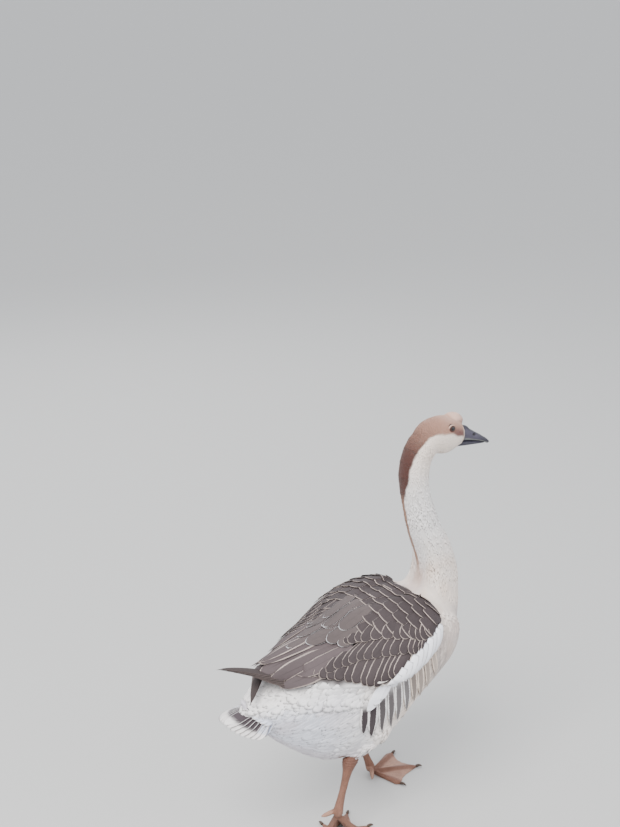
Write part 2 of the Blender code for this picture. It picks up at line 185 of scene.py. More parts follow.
floor_finish, shader = new_material("pale floor")
shader.inputs["Base Color"].default_value = (0.46, 0.46, 0.45, 1)
shader.inputs["Roughness"].default_value = 0.8
half = FLOOR_SIZE / 2
floor = new_piece("studio_floor", [(-half, -half, 0), (half, -half, 0), (half, half, 0), (-half, half, 0)],
                  [(0, 1, 2, 3)], floor_finish)
soft_lamp("key", (-1.9, -1.2, 2.9), 2.0, 190, (1.0, 0.985, 0.96))
soft_lamp("fill", (1.6, -2.4, 1.4), 2.4, 30, (0.94, 0.97, 1.0))
soft_lamp("rim", (0.6, 2.6, 2.2), 2.0, 40, (1.0, 1.0, 1.0))
world = bpy.data.worlds.new("soft sky")
world.use_nodes = True
sky = world.node_tree.nodes["Background"].inputs
sky["Color"].default_value = (0.93, 0.95, 1.0, 1)
sky["Strength"].default_value = 1.5
bpy.context.scene.world = world

# %% [markdown]
# The line of the body
#
# Feathers follow the body from the bill to the tail, so the script first needs
# that line. It is a smooth curve through a few points along the head, neck
# and trunk. Any point of the skin then has a distance along the line,
# and an angle round it: 0 on the back, 90 at the side, 180 on the belly.

# %% The body line
BODY_LINE = np.array([          # x and z along the middle of the bird
    (0.2135, 0.6650), (0.1855, 0.6740), (0.1600, 0.6735), (0.1370, 0.6680), (0.1175, 0.6480),
    (0.1090, 0.6100), (0.1180, 0.5600), (0.1320, 0.5050), (0.1420, 0.4520), (0.1330, 0.4020),
    (0.1040, 0.3600), (0.0475, 0.3180), (-0.0225, 0.2960), (-0.0975, 0.2800), (-0.1625, 0.2700),
    (-0.2285, 0.2660)])
LINE_STEPS = 24                 # samples between two of those points
CHUNK = 20000                   # points compared with the line at a time


def smooth_through(rows, steps):
    """A Catmull-Rom curve through rows of numbers."""
    rows = np.asarray(rows, float)
    ends = np.vstack([2 * rows[0] - rows[1], rows, 2 * rows[-1] - rows[-2]])
    out = []
    for a, b, c, d in zip(ends, ends[1:], ends[2:], ends[3:]):
        for t in np.arange(steps) / steps:
            out.append(0.5 * (2 * b + (c - a) * t + (2 * a - 5 * b + 4 * c - d) * t ** 2
                              + (3 * b - a - 3 * c + d) * t ** 3))
    out.append(rows[-1])
    return np.array(out)


line = smooth_through(BODY_LINE, LINE_STEPS)
line_points = np.column_stack([line[:, 0], np.zeros(len(line)), line[:, 1]])
line_heading = np.gradient(line_points, axis=0)
line_heading /= np.linalg.norm(line_heading, axis=1)[:, None]
line_along = np.concatenate([[0], np.cumsum(np.linalg.norm(np.diff(line_points, axis=0), axis=1))])
# Down the neck the back faces the tail, and along the trunk it faces the sky.
line_dorsal = np.column_stack([line_heading[:, 2], np.zeros(len(line)), -line_heading[:, 0]])
print("length of the body line:", round(line_along[-1], 3))


def body_chart(points):
    """Distance along the body line, angle round it, and heading, for each point."""
    nearest = np.zeros(len(points), int)
    for start in range(0, len(points), CHUNK):
        part = points[start:start + CHUNK]
        sideways, upwards = (part[:, None, k] - line_points[None, :, k] for k in (0, 2))
        nearest[start:start + CHUNK] = (sideways ** 2 + upwards ** 2).argmin(axis=1)
    upward = ((points - line_points[nearest]) * line_dorsal[nearest]).sum(axis=1)
    angle = np.degrees(np.arctan2(np.abs(points[:, 1]), upward))
    return line_along[nearest], angle, line_heading[nearest]


# %% [markdown]
# Lofting
#
# A loft joins oval rings along a curve into one closed body. Each row gives the
# centre, then the radius up, down and sideways. The same helper later makes
# the bill, the knob and the claws.

# %% A loft through rows
def ring_faces(rings, around, start, first, last):
    """Faces of a closed body: rings of corners that begin at a number, and one corner at each end."""
    faces = []
    for i in range(rings - 1):
        a, b = start + i * around, start + (i + 1) * around
        for j in range(around):
            k = (j + 1) % around
            faces.append((a + j, b + j, b + k, a + k))
    end = start + (rings - 1) * around
    for j in range(around):
        k = (j + 1) % around
        faces += [(first, start + j, start + k), (last, end + k, end + j)]
    return faces


def loft(rows, steps=4, around=24, squareness=2.0):
    """Corners and faces of a closed body through rows of x, y, z, up, down, side.
    A squareness over 2 makes the ovals boxier."""
    rows = smooth_through(rows, steps)
    centre = rows[:, :3]
    ahead = np.gradient(centre, axis=0)
    ahead /= np.linalg.norm(ahead, axis=1)[:, None]
    side = np.array([0.0, 1.0, 0.0]) - ahead * ahead[:, 1:2]
    side /= np.linalg.norm(side, axis=1)[:, None]
    up = np.cross(ahead, side)
    turns = np.arange(around) * 2 * math.pi / around
    power = 2 / squareness
    cosine, sine = (np.sign(wheel) * np.abs(wheel) ** power for wheel in (np.cos(turns), np.sin(turns)))
    corners = []
    for c, u, s, row in zip(centre, up, side, rows):
        rise = np.where(cosine > 0, row[3], row[4]) * cosine
        corners += list(c + u * rise[:, None] + s * (row[5] * sine)[:, None])
    faces = ring_faces(len(rows), around, 0, len(corners), len(corners) + 1)
    return corners + [centre[0], centre[-1]], faces


def level_rows(rows):
    """Rows of x, z and three radii as loft rows in the middle plane of the bird."""
    return [(x, 0, z, up, down, side) for x, z, up, down, side in rows]


# %% [markdown]
# Skin
#
# The CAD flesh comes in closed parts with thin cuts between them. Copies of them
# are grown by a millimetre, so that they overlap, joined, and given to the
# Remesh modifier, which makes one closed surface. Averaging each vertex with
# its neighbours then takes out the facets.

# %% Joining and smoothing the flesh
GROW = 0.0010
VOXEL = 0.0026
FLESH = ["trunk", "neck_lower", "neck_upper", "head", "thigh_left", "thigh_right", "wing_left", "wing_right"]
UNDER_FACE = ["eye_left", "eye_right", "bill_upper", "bill_lower", "forehead_knob"]
WING_ENDS = ["wing_left_tertials", "wing_right_tertials"]
# The crest of the back between the two wings: x, z, then up, down and sideways.
BACK_CREST = [(0.104, 0.374, 0.030, 0.030, 0.040), (0.080, 0.381, 0.030, 0.030, 0.056),
              (0.050, 0.380, 0.030, 0.030, 0.060), (0.020, 0.374, 0.030, 0.030, 0.060),
              (-0.010, 0.365, 0.030, 0.030, 0.058), (-0.040, 0.348, 0.030, 0.030, 0.052),
              (-0.080, 0.337, 0.029, 0.030, 0.044), (-0.120, 0.3305, 0.026, 0.026, 0.035),
              (-0.150, 0.329, 0.020, 0.022, 0.026), (-0.190, 0.326, 0.015, 0.016, 0.016),
              (-0.212, 0.325, 0.008, 0.009, 0.008)]


def joined_form(name, nodes, voxel=VOXEL, grow=GROW, back=True):
    """One closed mesh object round the named CAD nodes, and the crest of the back if wanted."""
    bm = bmesh.new()
    if back:
        corners, faces = loft(level_rows(BACK_CREST), steps=3)
        rounded = [bm.verts.new(corner) for corner in corners]
        for face in faces:
            bm.faces.new([rounded[i] for i in face])
        bmesh.ops.recalc_face_normals(bm, faces=bm.faces)
    for node in nodes:
        part = bmesh.new()
        part.from_mesh(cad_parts[node].data)
        bmesh.ops.remove_doubles(part, verts=part.verts, dist=0.00002)
        part.normal_update()
        for v in part.verts:
            v.co += v.normal * grow
        scratch = bpy.data.meshes.new("scratch")
        part.to_mesh(scratch)
        part.free()
        bm.from_mesh(scratch)
        bpy.data.meshes.remove(scratch)
    mesh = bpy.data.meshes.new(name)
    bm.to_mesh(mesh)
    bm.free()
    form = bpy.data.objects.new(name, mesh)
    bpy.context.scene.collection.objects.link(form)
    remesh = form.modifiers.new("one skin", 'REMESH')
    remesh.mode = 'VOXEL'
    remesh.voxel_size = voxel
    whole = bpy.data.meshes.new_from_object(form.evaluated_get(bpy.context.evaluated_depsgraph_get()))
    form.modifiers.clear()
    form.data = whole
    whole.shade_smooth()
    return form


def edge_ends(mesh):
    """The two vertices of every edge."""
    ends = np.zeros(len(mesh.edges) * 2, int)
    mesh.edges.foreach_get("vertices", ends)
    return ends.reshape(-1, 2)


def relax(values, edges, rounds, share=0.5):
    """Average each vertex's values with its neighbours', several times.
    share may differ from vertex to vertex, and 0 leaves a vertex as it is."""
    count = len(values)
    links = np.bincount(edges.ravel(), minlength=count).astype(float)[:, None]
    share = np.broadcast_to(np.asarray(share, float), (count,))[:, None]
    a, b = edges[:, 0], edges[:, 1]
    for _ in range(rounds):
        total = np.column_stack([np.bincount(a, values[b, k], count) + np.bincount(b, values[a, k], count)
                                 for k in range(values.shape[1])])
        values = values + share * (total / np.maximum(links, 1) - values)
    return values


def set_corners(mesh, points):
    mesh.vertices.foreach_set("co", np.asarray(points, np.float32).ravel())
    mesh.update()


def normals_of(mesh):
    out = np.zeros(len(mesh.vertices) * 3)
    mesh.vertex_normals.foreach_get("vector", out)
    return out.reshape(-1, 3)


skin = joined_form("skin", FLESH + UNDER_FACE)
skin_edges = edge_ends(skin.data)
form_points = corners_of(skin.data)
along, angle, heading = body_chart(form_points)
head_part = 1 - ease(0.085, 0.125, along)            # 1 on the head, 0 from the nape down
neck_part = 1 - ease(0.300, 0.400, along)            # 1 on head and neck, 0 on the trunk
faceted = form_points
form_points = relax(form_points, skin_edges, 8)
form_points = relax(form_points, skin_edges, 14, 0.5 * (1 - head_part))
form_points = relax(form_points, skin_edges, 45, 0.5 * (1 - neck_part))
set_corners(skin.data, form_points)
# Averaging shrinks a round form a little, so its mean loss is given back.
loss = ((faceted - form_points) * normals_of(skin.data)).sum(axis=1)[:, None]
form_points = form_points + normals_of(skin.data) * relax(loss, skin_edges, 60)
set_corners(skin.data, form_points)
print("skin vertices:", len(form_points))

# %% [markdown]
# Coat depth
#
# The skin sinks by the depth of the coat, so that the feathers on it end at the
# CAD outline. The coat is deepest on the trunk, thinner down the neck and very
# short on the face. Near the eyes and the bill the skin sinks further, so that the
# eyeball and the horn of the bill come out of it. The neck gets its furrows here.

# %% Sinking the skin by the depth of the coat
TRUNK_COAT, NECK_COAT, HEAD_COAT = 0.0038, 0.0014, 0.0013
EYE_PLACE = np.array([0.1745, 0.0195, 0.6862])
EYE_RADIUS = 0.0074
EYE_SOCKET, BILL_SOCKET = 0.0016, 0.0030    # how much deeper the skin lies at the eye and the bill
BILL_BASE = 0.2085                 # x of the feather edge at the bill
FURROWS = 15
FURROW_DEPTH = 0.0007

form_normals = normals_of(skin.data)
along, angle, heading = body_chart(form_points)
side_of = np.where(form_points[:, 1] >= 0, 1.0, -1.0)
eyes = EYE_PLACE * np.column_stack([np.ones_like(side_of), side_of, np.ones_like(side_of)])
to_eye = np.linalg.norm(form_points - eyes, axis=1)
depth = GROW + HEAD_COAT + (NECK_COAT - HEAD_COAT) * ease(0.07, 0.16, along)
depth += (TRUNK_COAT - NECK_COAT) * ease(0.24, 0.38, along)
depth += EYE_SOCKET * (1 - ease(EYE_RADIUS * 0.8, EYE_RADIUS * 1.3, to_eye))
depth += BILL_SOCKET * ease(BILL_BASE - 0.002, BILL_BASE + 0.006, form_points[:, 0])
furrow = np.sin(np.radians(angle) * FURROWS + 9 * np.sin(along * 14))
furrow = furrow * ease(0.10, 0.15, along) * (1 - ease(0.27, 0.33, along))
depth += FURROW_DEPTH * furrow * ease(50, 80, angle)
skin_points = form_points - form_normals * depth[:, None]
set_corners(skin.data, skin_points)

# %% [markdown]
# The lie of the coat
#
# Every feather points down the body. The direction at a vertex is the heading of
# the body line, turned down over the thighs, then averaged over the neighbours
# and laid flat on the skin. It is kept on the mesh as an attribute called lie.
# A second attribute says how sharply the skin curves in that direction, so that
# each feather can be curved like the skin below it.

# %% Direction, length and curve of the feathers
# Each thigh: x and y of its middle, height where the flank takes over, reach.
THIGHS = ((0.0575, 0.072, 0.215, 0.046), (-0.0370, -0.066, 0.172, 0.034))
skin_normals = normals_of(skin.data)
on_thigh = np.zeros(len(skin_points))
for x, y, top, reach in THIGHS:
    away = np.hypot(skin_points[:, 0] - x, skin_points[:, 1] - y)
    near = (1 - ease(reach, reach * 1.25, away)) * (1 - ease(top - 0.02, top, skin_points[:, 2]))
    on_thigh = np.maximum(on_thigh, near)
# The right leg steps back, so the coat ends higher on it and leaves the hock bare.
BARE_HOCK = np.array([-0.058, -0.061])
from_hock = np.hypot(*(skin_points[:, :2] - BARE_HOCK).T)
bare_hock = (1 - ease(0.150, 0.157, skin_points[:, 2])) * (1 - ease(0.0155, 0.0185, from_hock))
lie = heading + on_thigh[:, None] * np.array([-0.35, 0, -1.2])
flank = ease(70, 95, angle) * (1 - ease(125, 150, angle)) * ease(0.33, 0.42, along)
lie = lie + flank[:, None] * np.array([0, 0, -0.55])
lie = relax(lie, skin_edges, 30)
lie -= skin_normals * (lie * skin_normals).sum(axis=1)[:, None]
lie /= np.maximum(np.linalg.norm(lie, axis=1), 1e-9)[:, None]

feather_length = 0.0036 + 0.0030 * ease(0.03, 0.11, along) + 0.0034 * ease(0.12, 0.22, along)
feather_length += 0.0035 * ease(0.26, 0.34, along) + 0.0090 * ease(0.36, 0.56, along)
feather_length *= 1 - 0.35 * on_thigh


def bend_along(points, normals, ways, edges):
    """How sharply the surface curves along each vertex's direction: 1 / radius, positive where convex."""
    a, b = np.vstack([edges, edges[:, ::-1]]).T
    step = ((points[b] - points[a]) * ways[a]).sum(axis=1)
    swing = ((normals[b] - normals[a]) * ways[a]).sum(axis=1)
    swings, steps = (np.bincount(a, step * value, len(points)) for value in (swing, step))
    return swings / np.maximum(steps, 1e-12)


bend = relax(bend_along(skin_points, skin_normals, lie, skin_edges)[:, None], skin_edges, 25)[:, 0]
store_numbers(skin.data, "bend", np.clip(bend, -6, 0.6 / feather_length))
store_numbers(skin.data, "lie", lie)
store_numbers(skin.data, "feather_length", feather_length)
store_numbers(skin.data, "chart", np.column_stack([along, angle, side_of]))

# %% [markdown]
# A map of the skin
#
# Each face of the skin gets a place on a flat map. The skin is opened along the
# belly, as a tanner would: one way runs from bill to tail, the other round the
# body. Both thighs get a strip of their own beside it. The map has the name
# OFBake.

# %% Unwrapping the skin
MAP_LENGTH = 0.84                  # share of the map that the body takes


def skin_map(points, along, angle, side, thigh):
    """Map coordinates of skin points."""
    u = 0.02 + (MAP_LENGTH - 0.04) * along / line_along[-1]
    v = 0.5 + side * 0.47 * angle / 180
    for hand, (x, y, _, _) in zip((1, -1), THIGHS):
        own = thigh & (side == hand)
        turn = np.arctan2(points[own, 1] - y, points[own, 0] - x) * hand
        u[own] = MAP_LENGTH + 0.02 + 0.12 * (0.20 - points[own, 2]) / 0.12
        v[own] = 0.5 + hand * (0.25 + 0.22 * turn / math.pi)
    return np.column_stack([u, v])


loops = np.zeros(len(skin.data.loops), int)
skin.data.loops.foreach_get("vertex_index", loops)
corner_count = np.zeros(len(skin.data.polygons), int)
skin.data.polygons.foreach_get("loop_total", corner_count)
loop_face = np.repeat(np.arange(len(corner_count)), corner_count)
face_across = np.bincount(loop_face, skin_points[loops, 1]) / corner_count
face_side = np.where(face_across >= 0, 1.0, -1.0)[loop_face]
face_on_thigh = (np.bincount(loop_face, on_thigh[loops]) / corner_count > 0.5)[loop_face]
corner_uv = skin_map(skin_points[loops], along[loops], angle[loops], face_side, face_on_thigh)
skin.data.uv_layers.new(name="OFBake").data.foreach_set("uv", corner_uv.astype(np.float32).ravel())

# %% [markdown]
# Shared shader effects
#
# Two effects return in many materials, so each is a node group, built once. A
# group is mostly sums, so a small class lets sockets be added and multiplied
# like numbers: every sign adds a Math node.

# %% Node helpers
def feed(node, inputs):
    """Set or link a node's inputs, by name or number."""
    for key, value in dict(inputs).items():
        value = getattr(value, "socket", value)
        if isinstance(value, bpy.types.NodeSocket):
            node.id_data.links.new(value, node.inputs[key])
        else:
            node.inputs[key].default_value = value


def add_node(tree, kind, inputs=(), **settings):
    """Add a node, set its properties, then set or link its inputs."""
    node = tree.nodes.new(kind)
    for key, value in settings.items():
        setattr(node, key, value)
    feed(node, inputs)
    return node


class Wire:
    """An output socket to calculate with."""

    def __init__(self, socket):
        self.socket = socket

    def __add__(self, other):
        return maths('ADD', self, other)

    def __sub__(self, other):
        return maths('SUBTRACT', self, other)

    def __rsub__(self, other):
        return maths('SUBTRACT', other, self)

    def __mul__(self, other):
        return maths('MULTIPLY', self, other)

    def __truediv__(self, other):
        return maths('DIVIDE', self, other)

    def __rtruediv__(self, other):
        return maths('DIVIDE', other, self)


def tree_of(*values):
    """The node tree of the first wire among some values."""
    return next(value.socket.id_data for value in values if isinstance(value, Wire))


def maths(operation, *values):
    """A Math node on numbers and wires."""
    node = add_node(tree_of(*values), "ShaderNodeMath", dict(enumerate(values)), operation=operation)
    return Wire(node.outputs[0])


def soft_step(value, low, high):
    """0 below low and 1 above high, smooth between."""
    node = add_node(tree_of(value), "ShaderNodeMapRange", {"Value": value, "From Min": low, "From Max": high},
                    interpolation_type='SMOOTHSTEP')
    return Wire(node.outputs["Result"])


def mix_colours(share, first, second, blend='MIX'):
    """A Mix node for two colours."""
    node = add_node(tree_of(share, first, second), "ShaderNodeMix", {0: share, 6: first, 7: second},
                    data_type='RGBA', blend_type=blend)
    return Wire(node.outputs[2])


def shaded(colour, brightness):
    """A colour times a brightness."""
    grey = add_node(tree_of(brightness), "ShaderNodeCombineColor", {k: brightness for k in range(3)})
    return mix_colours(1.0, colour, Wire(grey.outputs[0]), 'MULTIPLY')


def noise(position, scale, detail):
    inputs = {"Vector": position, "Scale": scale, "Detail": detail}
    return Wire(add_node(tree_of(position), "ShaderNodeTexNoise", inputs).outputs["Fac"])


def stored(tree, name, output="Color"):
    """A value that the mesh keeps under a name."""
    return Wire(add_node(tree, "ShaderNodeAttribute", attribute_name=name).outputs[output])


def on_object(tree):
    """The place on the object, for noise and cells."""
    return Wire(add_node(tree, "ShaderNodeTexCoord").outputs["Object"])


def given_to(tree):
    """The inputs of a node group, as wires by name."""
    return {socket.name: Wire(socket) for socket in add_node(tree, "NodeGroupInput").outputs}


def effect_group(name, defaults):
    """An empty shader node group, its inputs as wires, and its output node."""
    group = bpy.data.node_groups.new(name, "ShaderNodeTree")
    for label, value in defaults.items():
        kind = "NodeSocketColor" if isinstance(value, tuple) else "NodeSocketFloat"
        group.interface.new_socket(label, in_out='INPUT', socket_type=kind).default_value = value
    for label, kind in (("Colour", "Color"), ("Roughness", "Float"), ("Height", "Float")):
        group.interface.new_socket(label, in_out='OUTPUT', socket_type="NodeSocket" + kind)
    return group, given_to(group), add_node(group, "NodeGroupOutput")


# %% [markdown]
# The first group draws a feather: fine barbs that run out from the shaft at a slant,
# a pale shaft, and a fringe of another colour along the edge. It reads the
# attribute called vane: how far along and across the blade a point is, and
# the length of the blade over its half width.

# %% Shader group: one feather
feather_group, given, result = effect_group("feather vane", {
    "Colour": (0.8, 0.8, 0.8, 1), "Fringe Colour": (0.9, 0.9, 0.9, 1), "Fringe Width": 0.15,
    "Barb Depth": 0.12, "Barbs": 46.0, "Shaft": 0.25, "Side Fringe": 1.0, "Ragged": 0.14})
position = on_object(feather_group)
vane = add_node(feather_group, "ShaderNodeSeparateXYZ", {0: stored(feather_group, "vane", "Vector")}).outputs
way, across, slimness = Wire(vane["X"]), maths('ABSOLUTE', Wire(vane["Y"])), Wire(vane["Z"])
# Distance from the rim in half widths: to the side, or to the tip.
inward = maths('SMOOTH_MIN', (1.0 - across) / given["Side Fringe"], (1.0 - way) * slimness, 0.12)
inward = inward + (noise(position, 700.0, 2.0) - 0.5) * given["Ragged"]
fringe = 1.0 - soft_step(inward - given["Fringe Width"], -0.05, 0.05)
slant = way * given["Barbs"] - across * (given["Barbs"] * 0.34)
barb = maths('SINE', slant * (2 * math.pi)) * 0.5 + 0.5
quill = (1.0 - soft_step(across, 0.015, 0.07)) * (1.0 - soft_step(way, 0.75, 0.95))
dull = (1.04 - barb * given["Barb Depth"]) * (noise(position, 140.0, 3.0) * 0.24 + 0.88)
colour = mix_colours(fringe, given["Colour"], given["Fringe Colour"])
feed(result, {"Colour": shaded(colour, dull - quill * given["Shaft"]), "Roughness": barb * 0.18 + 0.62,
              "Height": barb * 0.35 + quill})

# %% [markdown]
# The second group is for bare skin and horn: small plates or pores. Voronoi cells
# have clear edges like the scales of a bird's foot, and noise adds wear.

# %% Shader group: scales and pores
scale_group, given, result = effect_group("scales", {
    "Colour": (0.5, 0.2, 0.1, 1), "Groove Colour": (0.2, 0.1, 0.05, 1), "Scale Size": 0.002, "Groove": 0.10,
    "Wear": 0.25})
position = on_object(scale_group)
cells = add_node(scale_group, "ShaderNodeTexVoronoi",
                 {"Vector": position, "Scale": 1.0 / given["Scale Size"]}, feature='DISTANCE_TO_EDGE')
plate = soft_step(Wire(cells.outputs["Distance"]) / given["Groove"], 0.0, 1.0)
stain, fine = noise(position, 90.0, 4.0), noise(position, 900.0, 3.0)
shade = (1.0 - given["Wear"] * 0.5) + stain * given["Wear"] + (fine - 0.5) * 0.16
feed(result, {"Colour": shaded(mix_colours(plate, given["Groove Colour"], given["Colour"]), shade),
              "Roughness": stain * 0.22 + 0.42, "Height": plate + fine * 0.35})


# %% Materials round the two groups
def grouped_material(name, group, bump, values, sheen=0.0, coat=0.0):
    """A Principled material round a group. Its values are numbers, colours or names of stored colours."""
    material, shader = new_material(name)
    tree = material.node_tree
    effect = add_node(tree, "ShaderNodeGroup", node_tree=group)
    for label, value in values.items():
        feed(effect, {label: stored(tree, value) if isinstance(value, str) else value})
    drawn = effect.outputs
    lift = add_node(tree, "ShaderNodeBump", {"Height": drawn["Height"], "Distance": bump, "Strength": 0.6})
    feed(shader, {"Base Color": drawn["Colour"], "Roughness": drawn["Roughness"],
                  "Normal": lift.outputs["Normal"], "Specular IOR Level": 0.25, "Sheen Weight": sheen,
                  "Sheen Roughness": 0.5, "Coat Weight": coat, "Coat Roughness": 0.25})
    return material


def feather_material(name, bump, fringe, depth, barbs, quill, sheen=0.0, more=()):
    """A feather finish that takes both its colours from the blade."""
    values = {"Fringe Width": fringe, "Barb Depth": depth, "Barbs": barbs, "Shaft": quill,
              "Colour": "mark", "Fringe Colour": "fringe", **dict(more)}
    return grouped_material(name, feather_group, bump, values, sheen)


def bare_material(name, bump, size, groove, wear, colour="mark", groove_colour="mark", **shine):
    """A finish with small plates or pores for bare skin and horn."""
    values = {"Scale Size": size, "Groove": groove, "Wear": wear, "Colour": colour}
    return grouped_material(name, scale_group, bump, {**values, "Groove Colour": groove_colour}, **shine)


small_feathers = feather_material("small feathers", 0.00015, 0.22, 0.10, 9.0, 0.0, 0.12)
body_feathers = feather_material("body feathers", 0.0002, 0.14, 0.10, 17.0, 0.04, 0.12)
wing_feathers = feather_material("wing feathers", 0.0003, 0.11, 0.14, 44.0, 0.16)
long_feathers = feather_material("long wing feathers", 0.0003, 0.15, 0.16, 52.0, 0.24)
mantle_feathers = feather_material("mantle feathers", 0.0003, 0.085, 0.16, 40.0, 0.10,
                                   more={"Side Fringe": 0.25})
skin_finish = bare_material("skin under the coat", 0.0002, 0.004, 0.2, 0.3, sheen=0.1)

# %% [markdown]
# Markings
#
# One function gives the colour at any place on the bird. The skin and every
# feather ask the same function, so the markings agree. Its inputs are a
# place, its distance along the body line and its angle from the back.
# Edges between colours are waved a little by noise, as plumage is.

# %% The markings
WHITE = paint(236, 232, 230)
COOL_WHITE = paint(208, 212, 226)
CREAM = paint(232, 214, 198)
BUFF = paint(222, 196, 176)
CROWN_BROWN = paint(158, 120, 102)
NAPE_BROWN = paint(74, 43, 36)
NAPE_TAN = paint(178, 136, 110)
FACE_BROWN = paint(104, 64, 60)
KNOB_PINK = paint(200, 166, 150)
GREY_BROWN = paint(62, 54, 55)
PALE_EDGE = paint(196, 180, 172)
STREAK = paint(56, 47, 50)
BREAST_PAINTED_SHADE = paint(158, 142, 140)
STAIN = paint(186, 170, 172)
LEG_ORANGE = paint(130, 92, 76)
HOCK_BROWN = paint(110, 74, 62)

# Half width of the brown stripe, in degrees from the back, along the body line.
STRIPE = np.array([(0.000, 98), (0.030, 92), (0.055, 78), (0.085, 58), (0.110, 52), (0.140, 42),
                   (0.165, 30), (0.190, 14), (0.300, 13), (0.345, 20)])
STRIPE_TURN = 18.0                 # degrees
STREAK_STEP = 0.0155               # from one streak of the breast to the next


def wave(points, size):
    """Smooth waves between -1 and 1 that vary over about this size."""
    x, y, z = (points / size * 2.2).T
    return (np.sin(x + 1.7 * np.sin(0.9 * z + 0.4)) + np.sin(1.3 * y + 1.2 * np.sin(1.1 * x))
            + np.sin(1.2 * z + 1.4 * np.sin(0.8 * y + 1.9))) / 3


# Where the grey of the wing and back ends: x, and the angle from straight up round the shoulder axis.
WING_EDGE = np.array([(0.104, 0), (0.104, 20), (0.104, 40), (0.090, 54), (0.053, 63), (0.008, 71),
                      (-0.035, 86), (-0.097, 84), (-0.148, 79), (-0.200, 80)])
SHOULDER_AXIS = 0.30               # height of the line that wing places are measured round


def turn_of(points):
    """The angle of each point from straight up, round the shoulder axis."""
    return np.degrees(np.arctan2(np.abs(points[:, 1]), points[:, 2] - SHOULDER_AXIS))


def under_wing(points):
    """How far inside the edge of the wings' grey each point is, in degrees."""
    edge = np.interp(-points[:, 0], -WING_EDGE[:, 0], WING_EDGE[:, 1])
    return np.where(points[:, 0] > WING_EDGE[0, 0], -40.0, edge) - turn_of(points)


def layered(colour, *layers):
    """A colour with others laid over it one by one, each by its own share."""
    for tint, share in layers:
        colour = blend_colours(colour, tint, share)
    return colour


def markings(points, along, angle):
    """Plumage colour at places on the bird."""
    x, height, turn = points[:, 0], points[:, 2], turn_of(points)
    throat = 1 - ease(0.10, 0.19, along)
    breast = ease(0.24, 0.34, along) * (1 - ease(0.50, 0.60, along)) * ease(40, 70, angle)
    rear = ease(0.55, 0.68, along) * ease(60, 100, angle)
    belly = ease(135, 160, angle) * ease(0.42, 0.50, along)
    half = np.interp(along, STRIPE[:, 0], STRIPE[:, 1]) + 5 * wave(points, 0.012)
    # The neck is turned a little, which brings the stripe round to the left.
    turned = STRIPE_TURN * ease(0.15, 0.20, along) * (1 - ease(0.30, 0.35, along))
    round_neck = np.abs(angle * np.sign(points[:, 1]) - turned)
    cap = (1 - ease(half - 5, half + 5, round_neck)) * (1 - ease(0.30, 0.36, along))
    brown = layered(
        np.broadcast_to(CROWN_BROWN, points.shape), (NAPE_BROWN, ease(0.050, 0.118, along)),
        (KNOB_PINK, 0.75 * (1 - ease(0.028, 0.058, along)) * (1 - ease(20, 62, angle))),
        (FACE_BROWN, 0.9 * (1 - ease(0.026, 0.050, along)) * ease(55, 80, angle)),
        (NAPE_TAN, 0.6 * ease(0.165, 0.20, along)))
    rim = ease(BILL_BASE - 0.0050, BILL_BASE - 0.0015, x) * ease(35, 60, angle)
    foot = np.exp(-((along - 0.350) / 0.034) ** 2) * (1 - ease(30, 80, angle))
    # Painted shade: the lower front of the breast is painted darker.
    low = ease(0.060, 0.110, x) * (1 - ease(0.335, 0.385, height)) * ease(0.19, 0.26, height)
    # Faint upright streaks on the side of the breast, in line with the bars of the flank.
    upright = 0.5 + 0.5 * np.sin((x - 0.0004 * turn) * 2 * math.pi / STREAK_STEP + 0.8 * wave(points, 0.02))
    streaks = ease(0.030, 0.060, x) * (1 - ease(0.110, 0.135, x)) * ease(58, 74, turn)
    streaks = streaks * (1 - ease(100, 118, turn)) * (1 - ease(0.80, 1.00, height / 0.36))
    mantle = ease(-2, 8, under_wing(points) + 3 * wave(points, 0.012)) * ease(0.30, 0.33, along)
    return layered(
        np.broadcast_to(WHITE, points.shape), (CREAM, 0.75 * throat),
        (CREAM, 0.85 * breast * (0.8 + 0.2 * wave(points, 0.03))),
        (BUFF, 0.35 * breast * ease(0.0, 0.8, wave(points, 0.018))), (COOL_WHITE, 0.8 * rear),
        (STAIN, 0.35 * rear * ease(0.1, 0.8, wave(points, 0.045))), (STAIN, 0.45 * belly), (brown, cap),
        (CREAM, 0.8 * rim), (NAPE_TAN, 0.60 * foot),
        (BREAST_PAINTED_SHADE, 0.62 * low * (0.8 + 0.2 * wave(points, 0.02))),
        (STREAK, 0.42 * streaks * ease(0.35, 0.8, upright)), (GREY_BROWN, mantle * ease(-0.230, -0.205, x)))


def refinish(mesh, material):
    """Give a mesh one material in place of those it brought."""
    mesh.materials.clear()
    mesh.materials.append(material)


# Painted shade: the skin between the feathers is painted darker, as shade falls there under the coat.
SKIN_PAINTED_SHADE = 0.8                   # the skin between the feathers is darker than they are
skin_colour = markings(skin_points, along, angle) * SKIN_PAINTED_SHADE
skin_colour = blend_colours(skin_colour, blend_colours(LEG_ORANGE, HOCK_BROWN, 0.5), bare_hock)
store_colour(skin.data, "mark", skin_colour)
refinish(skin.data, skin_finish)

# %% [markdown]
# A feather to copy
#
# Body feathers are copied by the thousand, so one has only a few dozen faces. It
# is a closed blade: a top and a belly face share their rim. It is one unit
# long and points along X, with its root at the origin. Its cross section
# is a shallow arch, and it bends down a little towards the tip.

